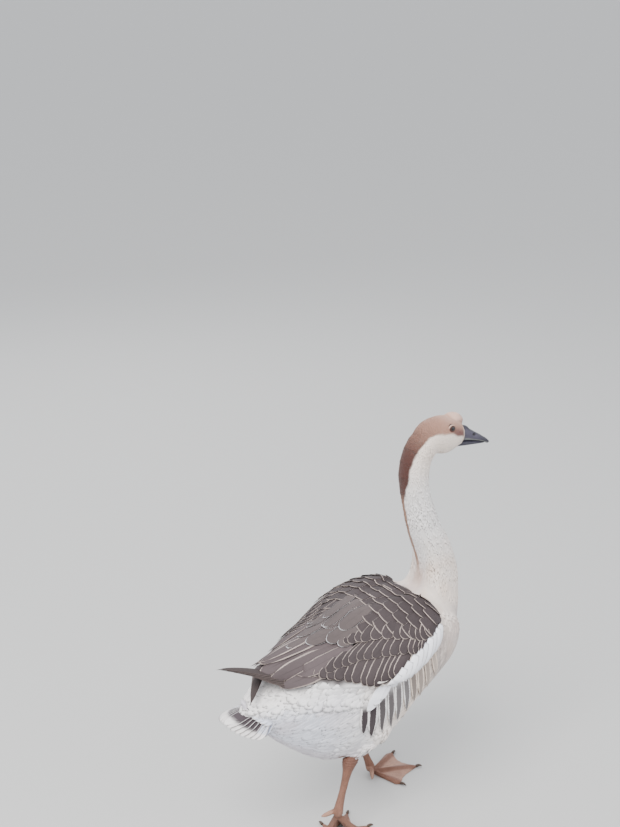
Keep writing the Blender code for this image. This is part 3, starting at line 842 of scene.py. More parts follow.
# %% Template feathers
def blade(rows, columns, width, roundness, arch, droop, thickness, root_width=0.5):
    """Corners, faces and vane coordinates of a closed feather of length 1."""
    corners, vanes, index = [], [], {}
    for under in (0, 1):
        for i in range(rows + 1):
            t = i / rows
            for j in range(columns + 1):
                w = 2 * j / columns - 1
                rim = i in (0, rows) or j in (0, columns)
                if under and rim:
                    index[1, i, j] = index[0, i, j]
                    continue
                swell = root_width + (1 - root_width) * math.sin(min(1.0, t / 0.62) * math.pi / 2)
                swell *= 1 - 0.30 * max(0.0, (t - 0.62) / 0.38) ** 2
                x = t - roundness * t ** 3 * w * w
                z = -arch * width * w * w - droop * x * x - (thickness if under else 0)
                index[under, i, j] = len(corners)
                corners.append((x, w * swell * width, z))
                vanes.append((t, w, 1 / width))
    faces = []
    for i in range(rows):
        for j in range(columns):
            ring = [(i, j), (i + 1, j), (i + 1, j + 1), (i, j + 1)]
            faces.append([index[0, a, b] for a, b in ring])
            faces.append([index[1, a, b] for a, b in reversed(ring)])
    return corners, faces, vanes


def template(name, *shape):
    corners, faces, vanes = blade(*shape)
    piece = new_piece(name, corners, faces)
    store_numbers(piece.data, "vane", vanes)
    bpy.context.scene.collection.objects.unlink(piece)
    return piece


# Each: rows, columns, half width, roundness of the tip, arch, droop, thickness.
tiny_feather = template("tiny_feather", 3, 2, 0.30, 0.35, 0.35, 0.04, 0.05)
neck_feather = template("neck_feather", 3, 2, 0.26, 0.35, 0.35, 0.04, 0.03)
body_feather = template("body_feather", 4, 4, 0.36, 0.30, 0.30, 0.04, 0.014)

# %% [markdown]
# Geometry Nodes: a coat of feathers
#
# The tree scatters points over one area of the skin, never closer than a given
# spacing. On each point it sets up axes: Z along the skin's normal and X
# along the lie. It turns them a little at random and lifts the tip, then
# places the template there, scaled by the length kept on the skin. The copies
# are made real, and every vertex moves in towards the skin, or out from it, by
# the bend of the skin times the square of its distance from the root, so that
# a feather neither stands off nor sinks in. Last come the bake map and a material.

# %% The feather coat tree
PATCH = 0.003                      # side of each feather's patch on the bake map


def coat_tree():
    tree = bpy.data.node_groups.new("feather coat", "GeometryNodeTree")
    for label, kind in (("Skin", "Geometry"), ("Area", "String"), ("Feather", "Object"), ("Spacing", "Float"),
                        ("Size", "Float"), ("Lift", "Float"), ("Scatter", "Float"), ("Seed", "Int"),
                        ("Finish", "Material")):
        tree.interface.new_socket(label, in_out='INPUT', socket_type="NodeSocket" + kind)
    tree.interface.new_socket("Coat", in_out='OUTPUT', socket_type="NodeSocketGeometry")
    given = given_to(tree)

    def step(kind, inputs=(), output=0, **settings):
        return Wire(add_node(tree, kind, inputs, **settings).outputs[output])

    def kept(name, kind='FLOAT'):
        return step("GeometryNodeInputNamedAttribute", {"Name": name}, "Attribute", data_type=kind)

    def keep(geometry, name, value, kind, domain='POINT'):
        return step("GeometryNodeStoreNamedAttribute", {"Geometry": geometry, "Name": name, "Value": value},
                    data_type=kind, domain=domain)

    def vector(operation, inputs):
        return step("ShaderNodeVectorMath", inputs, operation=operation)

    def chance(low, high, offset):
        return step("FunctionNodeRandomValue", {2: low, 3: high, "Seed": given["Seed"] + offset}, 1,
                    data_type='FLOAT')

    inside = step("FunctionNodeCompare", {0: kept(given["Area"]), 1: 0.5}, data_type='FLOAT',
                  operation='GREATER_THAN')
    spread = add_node(tree, "GeometryNodeDistributePointsOnFaces",
                      {"Mesh": given["Skin"], "Selection": inside, "Distance Min": given["Spacing"],
                       "Density Max": 3.0 / (given["Spacing"] * given["Spacing"]), "Seed": given["Seed"]},
                      distribute_method='POISSON').outputs
    points, out = Wire(spread["Points"]), Wire(spread["Normal"])
    for name, kind, value in (
            ("root", 'FLOAT_VECTOR', step("GeometryNodeInputPosition")),
            ("root_map", 'FLOAT_VECTOR', kept("OFBake", 'FLOAT_VECTOR')),
            ("root_out", 'FLOAT_VECTOR', out),
            ("reach", 'FLOAT', kept("feather_length") * given["Size"] * chance(0.82, 1.18, 5)),
            ("luck", 'FLOAT', chance(0.0, 1.0, 1))):
        points = keep(points, name, value, kind)
    axes = step("FunctionNodeAxesToRotation", {0: out, 1: kept("lie", 'FLOAT_VECTOR')}, primary_axis='Z',
                secondary_axis='X')
    sway, roll = chance(-1.0, 1.0, 2) * given["Scatter"], chance(-1.0, 1.0, 3) * given["Scatter"]
    lift = given["Lift"] * -1.0 * chance(0.7, 1.3, 4)
    nudge = step("FunctionNodeEulerToRotation",
                 {0: step("ShaderNodeCombineXYZ", {0: roll * 0.5, 1: lift, 2: sway})})
    reach = kept("reach")
    turned = step("FunctionNodeRotateRotation", {0: axes, 1: nudge}, rotation_space='LOCAL')
    placed = step("GeometryNodeInstanceOnPoints",
                  {"Points": points, "Scale": step("ShaderNodeCombineXYZ", {k: reach for k in range(3)}),
                   "Instance": step("GeometryNodeObjectInfo", {"Object": given["Feather"]}, "Geometry"),
                   "Rotation": turned})
    coat = step("GeometryNodeRealizeInstances", {0: placed})
    vane = kept("vane", 'FLOAT_VECTOR')
    run = step("ShaderNodeSeparateXYZ", {0: vane}) * reach
    fall = kept("bend") * -0.5 * (run * run)
    offset = vector('SCALE', {0: kept("root_out", 'FLOAT_VECTOR'), "Scale": fall})
    coat = step("GeometryNodeSetPosition", {"Geometry": coat, "Offset": offset})
    patch = vector('MULTIPLY', {0: vane, 1: (PATCH, PATCH / 2, 0)})
    patch = vector('ADD', {0: patch, 1: kept("root_map", 'FLOAT_VECTOR')})
    coat = keep(coat, "OFBake", patch, 'FLOAT2', 'CORNER')
    coat = step("GeometryNodeSetMaterial", {"Geometry": coat, "Material": given["Finish"]})
    add_node(tree, "NodeGroupOutput", {0: coat})
    return tree


def drop_helpers(mesh, *used):
    """Remove every stored value that no material uses and the mesh can do without."""
    used = {"position", "OFBake", "sharp_face", "material_index", *used}
    for name in [a.name for a in mesh.attributes if a.name not in used and a.name[0] != "."]:
        mesh.attributes.remove(mesh.attributes[name])


coat_nodes = coat_tree()


def grow_coat(name, area, feather, spacing, size, lift, scatter, seed, finish):
    """Cover one area of the skin and return the coat as a plain mesh piece."""
    coat = skin.copy()
    coat.name = name
    bpy.context.scene.collection.objects.link(coat)
    modifier = coat.modifiers.new("coat", 'NODES')
    modifier.node_group = coat_nodes
    values = {"Area": area, "Feather": feather, "Spacing": spacing, "Size": size, "Lift": lift,
              "Scatter": scatter, "Seed": seed, "Finish": finish}
    for item in coat_nodes.interface.items_tree:
        if item.name in values:
            modifier[item.identifier] = values[item.name]
    mesh = bpy.data.meshes.new_from_object(coat.evaluated_get(bpy.context.evaluated_depsgraph_get()))
    coat.modifiers.clear()
    coat.data = mesh
    mesh.name = name
    read = {}
    for label, kind, width in (("root", "vector", 3), ("chart", "vector", 3), ("luck", "value", 1)):
        flat = np.zeros(len(mesh.vertices) * width)
        mesh.attributes[label].data.foreach_get(kind, flat)
        read[label] = flat.reshape(-1, width)
    drop_helpers(mesh, "vane")
    colour = markings(read["root"], read["chart"][:, 0], read["chart"][:, 1]) * (0.90 + 0.14 * read["luck"])
    store_colour(mesh, "mark", colour)
    store_colour(mesh, "fringe", blend_colours(colour, WHITE, 0.30))
    mesh.shade_smooth()
    return coat


# %% [markdown]
# Areas of the coat
#
# Feathers are tiny round the eyes and bill and grow down the neck, so each
# area has its own spacing and template. The areas are masks on the skin,
# cut by the distance along the body line, and none covers the eyes or the bill.

# %% Growing the coat
mirrored = skin_points * [1, 0, 1] + [0, 1, 0] * np.abs(skin_points)
# The bare ring reaches further forward, as the feathers there lie back over it.
bare = np.linalg.norm((mirrored - EYE_PLACE - [0.0022, 0, 0]) / [0.0100, 0.0100, 0.0084], axis=1) < 1
bare |= skin_points[:, 0] > BILL_BASE
bare |= np.linalg.norm((skin_points - [0.2015, 0, 0.6895]) / [0.0130, 0.0115, 0.0140], axis=1) < 1
covered = (under_wing(skin_points) > -1) & (skin_points[:, 0] < 0.088) & (along > 0.34)
covered |= (skin_points[:, 0] < -0.10) & (skin_points[:, 2] > 0.325)
feathered = 1.0 - (bare | covered | (bare_hock > 0.5))
AREAS = {
    "area_head": (along < 0.105),
    "area_neck": (along >= 0.100) & (along < 0.235),
    "area_throat": (along >= 0.228) & (along < 0.335),
    "area_left": (along >= 0.325) & (side_of > 0) & (on_thigh < 0.5),
    "area_right": (along >= 0.325) & (side_of < 0) & (on_thigh < 0.5),
    "area_thighs": (on_thigh >= 0.4),
}
for label, mask in AREAS.items():
    store_numbers(skin.data, label, mask * feathered)

# Each: name, area, template, spacing, size, lift, scatter, seed, finish.
coats = [
    grow_coat("feathers_head", "area_head", tiny_feather, 0.00155, 1.0, 0.095, 0.14, 3, small_feathers),
    grow_coat("feathers_neck", "area_neck", neck_feather, 0.0027, 1.0, 0.085, 0.12, 5, small_feathers),
    grow_coat("feathers_neck_base", "area_throat", neck_feather, 0.0036, 1.0, 0.060, 0.12, 7, small_feathers),
    grow_coat("feathers_left", "area_left", body_feather, 0.0056, 1.1, 0.044, 0.12, 11, body_feathers),
    grow_coat("feathers_right", "area_right", body_feather, 0.0056, 1.1, 0.044, 0.12, 13, body_feathers),
    grow_coat("feathers_thighs", "area_thighs", body_feather, 0.0050, 1.0, 0.044, 0.12, 17, body_feathers),
]
for feather in (tiny_feather, neck_feather, body_feather):
    bpy.data.objects.remove(feather)
for coat in coats:
    place(coat, "plumage_brown" if coat.name == "feathers_head" else "plumage_white")
drop_helpers(skin.data, "mark")
place(skin, "plumage_white", *FLESH)


# %% [markdown]
# The wing surface as a guide
#
# The large feathers of the wings and back aren't scattered: each has its place. A
# place on the upper body is given by x and by an angle from straight up, round
# a line at the height of the shoulder axis. A ray from outside towards that
# line finds the surface of a smooth form joined from trunk, wings and tertials.

# %% Guide form
RAY_START = 0.3                    # distance from the axis, well outside the bird

guide = joined_form("guide", ["trunk", "neck_lower", "wing_left", "wing_right"] + WING_ENDS)
guide_points = relax(corners_of(guide.data), edge_ends(guide.data), 24)
guide_tree = BVHTree.FromPolygons(guide_points.tolist(), [list(p.vertices) for p in guide.data.polygons])
bpy.data.objects.remove(guide)


def wing_spot(x, turn, hand, form=guide_tree):
    """The place on a form at x and an angle from straight up, on one side."""
    out = Vector((0, hand * math.sin(math.radians(turn)), math.cos(math.radians(turn))))
    return form.ray_cast(Vector((x, 0, SHOULDER_AXIS)) + out * RAY_START, -out)[0]


# %% [markdown]
# Laying one large feather
#
# The shaft runs over the guide from root to tip. Where the tip passes beyond the
# surface, it goes straight on, as a stiff feather does. The blade is a grid
# across the shaft: each point is dropped on the surface and then raised. The
# root lies deep and the tip high, so that each feather covers the next root, like
# tiles. One side is raised more than the other, so that neighbours overlap too.
# The longest feathers don't follow every dent: their shaft and the tilt of
# their blade are fitted to smooth curves first.

# %% Laying feathers on the guide
SHAFT_SAMPLES = 24
CLING = 0.007                     # how far from the surface a blade still follows it
SEARCH = 0.05                     # how far away the nearest surface is looked for


def shaft(root, tip, hand, form=guide_tree):
    """Points along a feather's shaft on a form."""
    points = []
    for t in np.linspace(0, 1, SHAFT_SAMPLES):
        x, turn = (root[k] + (tip[k] - root[k]) * t for k in (0, 1))
        spot = wing_spot(x, turn, hand, form)
        if len(points) > 2:
            ahead = points[-1] * 2 - points[-2]
            if spot is None or (Vector(spot) - Vector(ahead)).length > CLING:
                spot = ahead
        points.append(np.array(spot))
    points = np.array(points)
    for _ in range(3):
        points[1:-1] = (points[:-2] + 2 * points[1:-1] + points[2:]) / 4
    return points


def stiffened(values, degree, trusted=1.0):
    """Values along a feather as one smooth curve of a low degree, fitted to the trusted share of them."""
    t = np.linspace(0, 1, len(values))
    n = int(trusted * len(values))
    return np.column_stack([np.polyval(np.polyfit(t[:n], values[:n, k], degree), t) for k in range(3)])


def at(path, t):
    """Interpolated place on a path, for t from 0 to 1."""
    place = np.clip(t, 0, 1) * (len(path) - 1)
    i = min(int(place), len(path) - 2)
    return path[i] + (path[i + 1] - path[i]) * (place - i)


class Plumes:
    """Collects blades until they become one mesh piece."""

    def __init__(self, name, finish, form=guide_tree):
        self.name, self.finish, self.form, self.count = name, finish, form, 0
        self.corners, self.faces, self.vanes, self.marks, self.fringes, self.cells = [], [], [], [], [], []

    def add(self, path, width, mark, fringe, up=None, rows=14, columns=8, depth=(-0.003, 0.0), roll=0.0,
            roundness=0.10, root_width=0.55, tip_width=0.75, widest=0.55, arch=0.0008, thickness=0.0005,
            cling=True, ragged=0.03, luck=0.5, pale_root=None, pale_tip=None):
        """One feather along a path. depth is the height over the guide at root and tip, and up is the
        blade's normal: found on the guide if not given, else one for the whole blade or for each sample."""
        length = np.linalg.norm(np.diff(path, axis=0), axis=1).sum()
        base, index, number = len(self.corners), {}, 0
        for under in (0, 1):
            for i in range(rows + 1):
                t = i / rows
                if t < widest:
                    swell = root_width + (1 - root_width) * math.sin(t / widest * math.pi / 2)
                else:
                    swell = tip_width + (1 - tip_width) * math.cos((t - widest) / (1 - widest) * math.pi / 2)
                for j in range(columns + 1):
                    w = 2 * j / columns - 1
                    if under and (i in (0, rows) or j in (0, columns)):
                        index[1, i, j] = index[0, i, j]
                        continue
                    reach = t - roundness * t ** 4 * w * w
                    middle = at(path, reach)
                    ahead = at(path, min(1, reach + 0.06)) - at(path, max(0, reach - 0.06))
                    ahead /= np.linalg.norm(ahead)
                    near = self.form.find_nearest(middle, SEARCH) if up is None else None
                    if up is None:
                        normal = np.array(near[1]) if near[0] is not None else np.array((0.0, 0.0, 1.0))
                    else:
                        normal = at(up, reach) if np.ndim(up) == 2 else np.array(up)
                    normal = normal - ahead * normal.dot(ahead)
                    normal /= np.linalg.norm(normal)
                    side = np.cross(normal, ahead)
                    wobble = 1 + ragged * math.sin(17 * t + 40 * luck + 2.1 * j)
                    spot = middle + side * w * width * swell * wobble
                    if cling and up is None:
                        near = self.form.find_nearest(spot, SEARCH)
                        if near[0] is not None and near[3] < CLING and near[1].dot(Vector(normal)) > 0.7:
                            spot = np.array(near[0])
                            normal = np.array(near[1])
                    lift = depth[0] + (depth[1] - depth[0]) * t + roll * w + arch * (1 - w * w)
                    spot = spot + normal * (lift - (thickness if under else 0))
                    index[under, i, j] = base + number
                    number += 1
                    self.corners.append(spot)
                    self.vanes.append((t, w, length / width))
                    shade = (0.90 + 0.20 * luck) * (1.06 - 0.16 * t)
                    tint = np.asarray(mark)
                    if pale_root is not None:
                        tint = blend_colours(pale_root, tint, ease(0.10, 0.34, t))
                    if pale_tip is not None:
                        tint = blend_colours(tint, pale_tip, ease(0.74, 0.84, t - 0.05 * w * w))
                    self.marks.append(tint * shade)
                    self.fringes.append(np.asarray(fringe) * (0.92 + 0.12 * luck))
        for i in range(rows):
            for j in range(columns):
                ring = [(i, j), (i, j + 1), (i + 1, j + 1), (i + 1, j)]
                self.faces.append([index[0, a, b] for a, b in reversed(ring)])
                self.faces.append([index[1, a, b] for a, b in ring])
        self.cells += [self.count] * number
        self.count += 1

    def finish_piece(self, slot_name, *nodes):
        """Build the mesh, its attributes and its bake map, one cell for each feather."""
        piece = new_piece(self.name, self.corners, self.faces, self.finish)
        mesh = piece.data
        store_numbers(mesh, "vane", self.vanes)
        store_colour(mesh, "mark", self.marks)
        store_colour(mesh, "fringe", self.fringes)
        across = math.ceil(math.sqrt(self.count))
        cells, vanes = np.array(self.cells), np.array(self.vanes)
        u = (cells % across + 0.06 + 0.88 * vanes[:, 0]) / across
        v = (cells // across + 0.5 + 0.44 * vanes[:, 1]) / across
        loops = np.zeros(len(mesh.loops), int)
        mesh.loops.foreach_get("vertex_index", loops)
        mesh.uv_layers.new(name="OFBake").data.foreach_set(
            "uv", np.column_stack([u[loops], v[loops]]).astype(np.float32).ravel())
        return place(piece, slot_name, *nodes)


def spread_along(stops, share):
    """A place a share of the way along a bent line of stops."""
    stops = np.array(stops, float)
    return np.array([np.interp(share, np.linspace(0, 1, len(stops)), stops[:, k]) for k in range(2)])


# %% [markdown]
# Wing feathers in rows
#
# From below upwards there are the secondaries, the greater, the median and the
# lesser coverts. Every row is a line of roots and a line of tips, and its
# feathers are spread evenly between the two ends. Both wings have the same rows, mirrored.

# %% The rows of a folded wing
# Each row: count, root stops, tip stops, half width, heights at root and tip, raised side, roundness.
SECONDARIES = (13, [(0.020, 64), (0.000, 58), (-0.020, 51), (-0.045, 47), (-0.055, 45)],
               [(-0.014, 79), (-0.048, 85), (-0.080, 81), (-0.112, 73), (-0.140, 62)],
               0.0125, (-0.0045, -0.0015), 0.0012, 0.12)
GREATER_COVERTS = (14, [(0.082, 56), (0.052, 53), (0.012, 49), (-0.018, 45), (-0.062, 47)],
                   [(0.040, 67), (0.012, 67), (-0.032, 64), (-0.068, 62), (-0.110, 66)],
                   0.0105, (-0.0035, -0.0002), 0.0010, 0.14)
MEDIAN_COVERTS = (13, [(0.096, 47), (0.070, 47), (0.038, 41), (0.000, 33), (-0.022, 29)],
                  [(0.067, 60), (0.040, 61), (0.006, 55), (-0.036, 46), (-0.062, 40)],
                  0.0115, (-0.0028, 0.0004), 0.0008, 0.16)
WING_ROWS = (SECONDARIES, GREATER_COVERTS, MEDIAN_COVERTS)
TIP_SWAY = np.array([0.0022, 0.8])     # the most that chance moves a tip, in x and in degrees
ROW_RISE = 0.0008                      # how much higher a row lies at its end than at its start
chance = np.random.default_rng(24)


def lay_row(plumes, row, hand, mark, fringe, **more):
    count, roots, tips, width, depth, roll, roundness = row
    for k in range(count):
        share = k / (count - 1)
        luck = chance.random()
        root, tip = spread_along(roots, share), spread_along(tips, share)
        tip = tip + TIP_SWAY * (chance.random(2) - 0.5) * 2
        # The nearer the tail, the higher: the inner feathers of a folded wing lie on the outer ones.
        height = ROW_RISE * share
        plumes.add(shaft(root, tip, hand), width * (0.94 + 0.12 * luck), mark, fringe,
                   depth=(depth[0] + height, depth[1] + height), roll=roll * hand, roundness=roundness,
                   luck=luck, **more)


# %% [markdown]
# Mantle and lesser coverts
#
# On the shoulders broad feathers point straight back and end almost square. Their
# pale ends line up into bars across the bird, one about every two
# centimetres. Each bar is a row at one x, from the middle of the back to the coverts.

# %% The rows of the back
BAR_STEP = 0.0180
FIRST_BAR = 0.0960
BAR_COUNT = 10
BACK_WIDTH = 0.0175                # half width of a mantle feather
BACK_RADIUS = 0.108                # of the back round the shoulder axis
BACK_TURN = math.degrees(1.36 * BACK_WIDTH / BACK_RADIUS)     # degrees between neighbours in a bar
BAR_RISE = 0.00054                 # how much higher the first bar lies than the last
MANTLE_LENGTH, LONGER = 0.034, 0.008     # the least length, and what chance can add to it
SHORTEST = 0.012                   # a mantle feather shorter than this is left out
NECK_FOOT, FURTHER = 0.092, 0.022  # x of the foremost roots at the middle, and how far ahead others reach
LOWEST_TURN = np.array([(0.101, 47), (0.085, 53), (0.066, 56), (0.043, 57), (0.020, 54), (0.000, 48),
                        (-0.020, 42), (-0.040, 36), (-0.060, 31), (-0.090, 26)])


def lay_back(plumes, hand):
    for bar in range(BAR_COUNT):
        x = FIRST_BAR - bar * BAR_STEP
        lift = BAR_RISE * (BAR_COUNT - bar) / BAR_COUNT
        turn = 1.0 + (0.5 if bar % 2 else 0.0) * BACK_TURN
        while turn < np.interp(-x, -LOWEST_TURN[:, 0], LOWEST_TURN[:, 1]):
            luck = chance.random()
            length = MANTLE_LENGTH + LONGER * luck
            tip_x = x + 0.005 * (chance.random() - 0.5)
            # At the foot of the neck the surface rises, so roots near the middle stay behind it.
            root = (min(tip_x + length, NECK_FOOT + FURTHER * min(1.0, turn / 35)), turn - 2.0)
            if root[0] - tip_x >= SHORTEST and (bar > 0 or turn >= 22):
                tip = (tip_x, turn + 2.5 * (turn / 50))
                plumes.add(shaft(root, tip, hand), BACK_WIDTH * (0.9 + 0.2 * luck), GREY_BROWN, PALE_EDGE,
                           rows=12, columns=10, depth=(-0.0036 + lift, 0.0006 + lift), roll=0.0006 * hand,
                           roundness=0.07, tip_width=0.88, luck=luck, arch=0.0006)
            turn += BACK_TURN


# %% [markdown]
# Scapulars and tertials
#
# Long feathers grow from the shoulder blade and the inner wing and roof over the
# folded flight feathers. There are few of them and they show most, so each
# has its own root, tip and width.

# %% Single long feathers
# Each: root x and angle, tip x and angle, half width, heights at root and tip.
TERTIALS = [
    ((-0.055, 47), (-0.180, 74), 0.0150, (-0.0058, -0.0040)),
    ((-0.045, 36), (-0.192, 52), 0.0170, (-0.0044, -0.0026)),
    ((-0.050, 20), (-0.204, 24), 0.0180, (-0.0030, -0.0012)),
    ((-0.030, 8), (-0.196, 4), 0.0170, (-0.0016, 0.0002)),
]
SHORT_TERTIAL = ((-0.050, 44), (-0.150, 60), 0.0150, (-0.0016, 0.0002))
SCAPULARS = [
    ((-0.040, 4), (-0.142, 1), 0.0135, (-0.0005, 0.0020)),
    ((-0.020, 32), (-0.070, 39), 0.0120, (-0.0012, 0.0016)),
    ((-0.030, 15), (-0.112, 12), 0.0150, (0.0002, 0.0026)),
    ((-0.010, 22), (-0.082, 26), 0.0150, (-0.0002, 0.0026)),
    ((0.015, 14), (-0.052, 18), 0.0150, (0.0000, 0.0028)),
    ((0.010, 3), (-0.070, 2), 0.0140, (0.0002, 0.0030)),
]
SCAPULAR_EDGE = paint(238, 236, 238)


def lay_singles(plumes, feathers, hand, mark, fringe, stiff=False, **more):
    for root, tip, width, depth in feathers:
        path, up = shaft(root, tip, hand), None
        if stiff:
            # A long feather is stiff: its shaft bends evenly, and its blade turns evenly with the surface.
            path = stiffened(path, 3)
            up = stiffened(np.array([plumes.form.find_nearest(Vector(place))[1] for place in path]), 1, 0.75)
        plumes.add(path, width, mark, fringe, rows=20, depth=depth, luck=chance.random(), up=up, **more)


# %% Dress both wings
TERTIAL_GREY = paint(82, 72, 73)
SCAPULAR_GREY = paint(84, 75, 74)
for hand, label in ((1, "left"), (-1, "right")):
    flight = Plumes(f"wing_feathers_{label}", wing_feathers)
    for row in WING_ROWS:
        lay_row(flight, row, hand, GREY_BROWN, PALE_EDGE)
    lay_singles(flight, [SHORT_TERTIAL], hand, TERTIAL_GREY, PALE_EDGE, roundness=0.16, tip_width=0.8)
    flight.finish_piece("plumage_grey")
    long_ones = Plumes(f"tertials_{label}", long_feathers)
    lay_singles(long_ones, TERTIALS, hand, TERTIAL_GREY, PALE_EDGE, stiff=True, roundness=0.10,
                tip_width=0.55, roll=0.0004 * hand, arch=0.0022)
    long_ones.finish_piece("plumage_grey", f"wing_{label}_tertials")
    shoulder = Plumes(f"shoulder_feathers_{label}", mantle_feathers)
    lay_back(shoulder, hand)
    lay_singles(shoulder, SCAPULARS, hand, SCAPULAR_GREY, SCAPULAR_EDGE, roundness=0.12, tip_width=0.72,
                roll=0.0006 * hand)
    shoulder.finish_piece("plumage_grey")

# %% [markdown]
# Flank feathers
#
# Along the front of the folded wing the long flank feathers come up over its edge
# and make a white band. Below the band the feathers hang almost straight
# down. Their middles are dark and their borders white, so they read as a row
# of upright bars, strong near the thigh and faint towards the breast.

# %% White band and barred flank
FLANK_BAND = (12, [(0.098, 54), (0.066, 60), (0.032, 67), (-0.002, 76), (-0.028, 86)],
              [(0.074, 69), (0.040, 77), (0.004, 84), (-0.030, 95), (-0.058, 108)],
              0.0086, (-0.0004, 0.0026), -0.0016, 0.24)
BAND_SHADE = paint(230, 230, 236)
# Each bar: its upper and lower end as x and angle, and how dark it is.
FLANK_BARS = [
    ((-0.057, 100), (-0.053, 133), 1.00), ((-0.044, 94), (-0.037, 136), 1.00),
    ((-0.029, 88), (-0.019, 133), 0.95), ((-0.014, 83), (-0.003, 131), 0.92),
    ((0.001, 79), (0.014, 128), 0.88), ((0.015, 75), (0.030, 124), 0.84),
    ((0.030, 72), (0.045, 119), 0.76), ((0.046, 70), (0.060, 114), 0.66),
    ((0.062, 67), (0.075, 108), 0.54), ((0.078, 64), (0.089, 102), 0.42)]
BAR_HALF_WIDTH = 0.0096
BAR_BOW = 0.0018                   # how far the middle of a bar bends towards the tail
CREAM_BORDER = 0.80                # bars paler than this have cream borders, not white ones
skin_tree = BVHTree.FromPolygons(skin_points.tolist(), [list(p.vertices) for p in skin.data.polygons])
flank_feathers = feather_material("flank feathers", 0.0002, 0.38, 0.12, 30.0, 0.05, 0.12, {"Ragged": 0.45})
for hand, label in ((1, "left"), (-1, "right")):
    flank = Plumes(f"flank_feathers_{label}", flank_feathers, skin_tree)
    for number, (top, bottom, dark) in enumerate(FLANK_BARS):
        pale = CREAM if dark < CREAM_BORDER else WHITE
        narrow = 1 - 0.30 * number / len(FLANK_BARS)
        # The path is found from the tip, so that a root under the wing goes straight on below it.
        luck, sway = chance.random(), chance.normal(size=2)
        bottom = (bottom[0] + 0.0010 * sway[0], bottom[1] + 1.5 * sway[1])
        path = shaft(bottom, top, hand, skin_tree)[::-1]
        path[:, 0] -= BAR_BOW * np.sin(np.linspace(0, math.pi, len(path)))
        mark = blend_colours(pale, STREAK, dark)
        flank.add(path, BAR_HALF_WIDTH * narrow * (0.9 + 0.2 * luck), mark, pale,
                  depth=(0.0006, 0.0026 + 0.0005 * luck), roundness=0.16, tip_width=0.40, root_width=0.75,
                  arch=0.0002, thickness=0.0004, ragged=0.05, luck=luck, pale_root=pale)
    flank.finish_piece("plumage_white")
    band = Plumes(f"flank_band_{label}", body_feathers)
    lay_row(band, FLANK_BAND, hand, BAND_SHADE, WHITE)
    band.finish_piece("plumage_white")

# %% [markdown]
# Wing tips
#
# The longest flight feathers come out from under the tertials and cross over
# the rump: the right ones lie above and point level to the left, the left ones
# point down to the right. They are narrow, stiff and dark.

# %% Primaries
PRIMARY_DARK = paint(62, 54, 53)
PRIMARY_EDGE = paint(120, 106, 102)
# Each line: places from under the tertials to the tip.
TIP_LINES = {
    "right": [(-0.105, -0.030, 0.300), (-0.1450, -0.026, 0.308), (-0.1825, -0.019, 0.320),
              (-0.2175, -0.009, 0.333), (-0.2545, 0.004, 0.341), (-0.2735, 0.010, 0.341)],
    "left": [(-0.085, 0.052, 0.288), (-0.1325, 0.044, 0.302), (-0.1675, 0.030, 0.310),
             (-0.1975, 0.004, 0.303), (-0.2205, -0.020, 0.293), (-0.2335, -0.034, 0.286)]}
TIP_FEATHERS = 6
TIP_WIDTH, WIDER = 0.0078, 0.0010      # half width of the longest, and what each shorter one adds
TIP_SHORTER = 0.075                    # share of the line by which each ends before the last one
TIP_STEP = 0.0016                      # from one to the next, sideways and upwards
TIP_SINK = 0.0030
for label, stops in TIP_LINES.items():
    hand = 1 if label == "left" else -1
    tips = Plumes(f"primaries_{label}", wing_feathers)
    line_of_tip = smooth_through(stops, 6)
    for k in range(TIP_FEATHERS):
        share = 1 - TIP_SHORTER * k
        path = np.array([at(line_of_tip, share * t) for t in np.linspace(0, 1, SHAFT_SAMPLES)])
        path = path + np.array([0, hand * TIP_STEP * k, TIP_STEP * (TIP_FEATHERS - 1 - k) - TIP_SINK])
        luck = chance.random()
        tips.add(path, TIP_WIDTH + WIDER * k, PRIMARY_DARK, PRIMARY_EDGE, up=(0.05, 0.25 * hand, 1),
                 rows=22, columns=6, depth=(0, 0), roll=-0.0010 * hand, root_width=0.5, tip_width=0.10,
                 arch=0.0010, cling=False, luck=luck)
    tips.finish_piece("plumage_grey", f"wing_{label}_primaries")

# %% [markdown]
# Tail
#
# The tail is a fan of stiff feathers, highest in the middle. The inner ones are
# dark grey with white ends and the outer ones white. Softer white feathers
# cover their roots above and below.

# %% Tail fan
TAIL_ROOT = np.array([-0.1685, 0.0, 0.2700])
TAIL_REACH = 0.097
TAIL_HALF_ANGLE = 40.0
TAIL_PAIRS = 8
TAIL_WIDTH = 0.0105               # half width of a tail feather
TAIL_STEP = 0.0012                # how much lower each pair lies than the one inside it
TAIL_START = 0.012                # from the tail root to where its feathers begin
TAIL_DROP, OUTER_DROP = 0.22, 0.20     # fall for each metre back, and what the sides add to it
TAIL_GREY = paint(70, 62, 66)


def tail_path(angle, length, sink):
    """A straight feather out from the tail root. Angle 0 points back."""
    turn = math.radians(angle)
    drop = TAIL_DROP + OUTER_DROP * abs(math.sin(turn)) ** 1.5
    out = np.linspace(TAIL_START, length, SHAFT_SAMPLES)[:, None]
    path = TAIL_ROOT + out * np.array([-math.cos(turn), math.sin(turn), -drop])
    return path + np.array([0, 0, -sink])


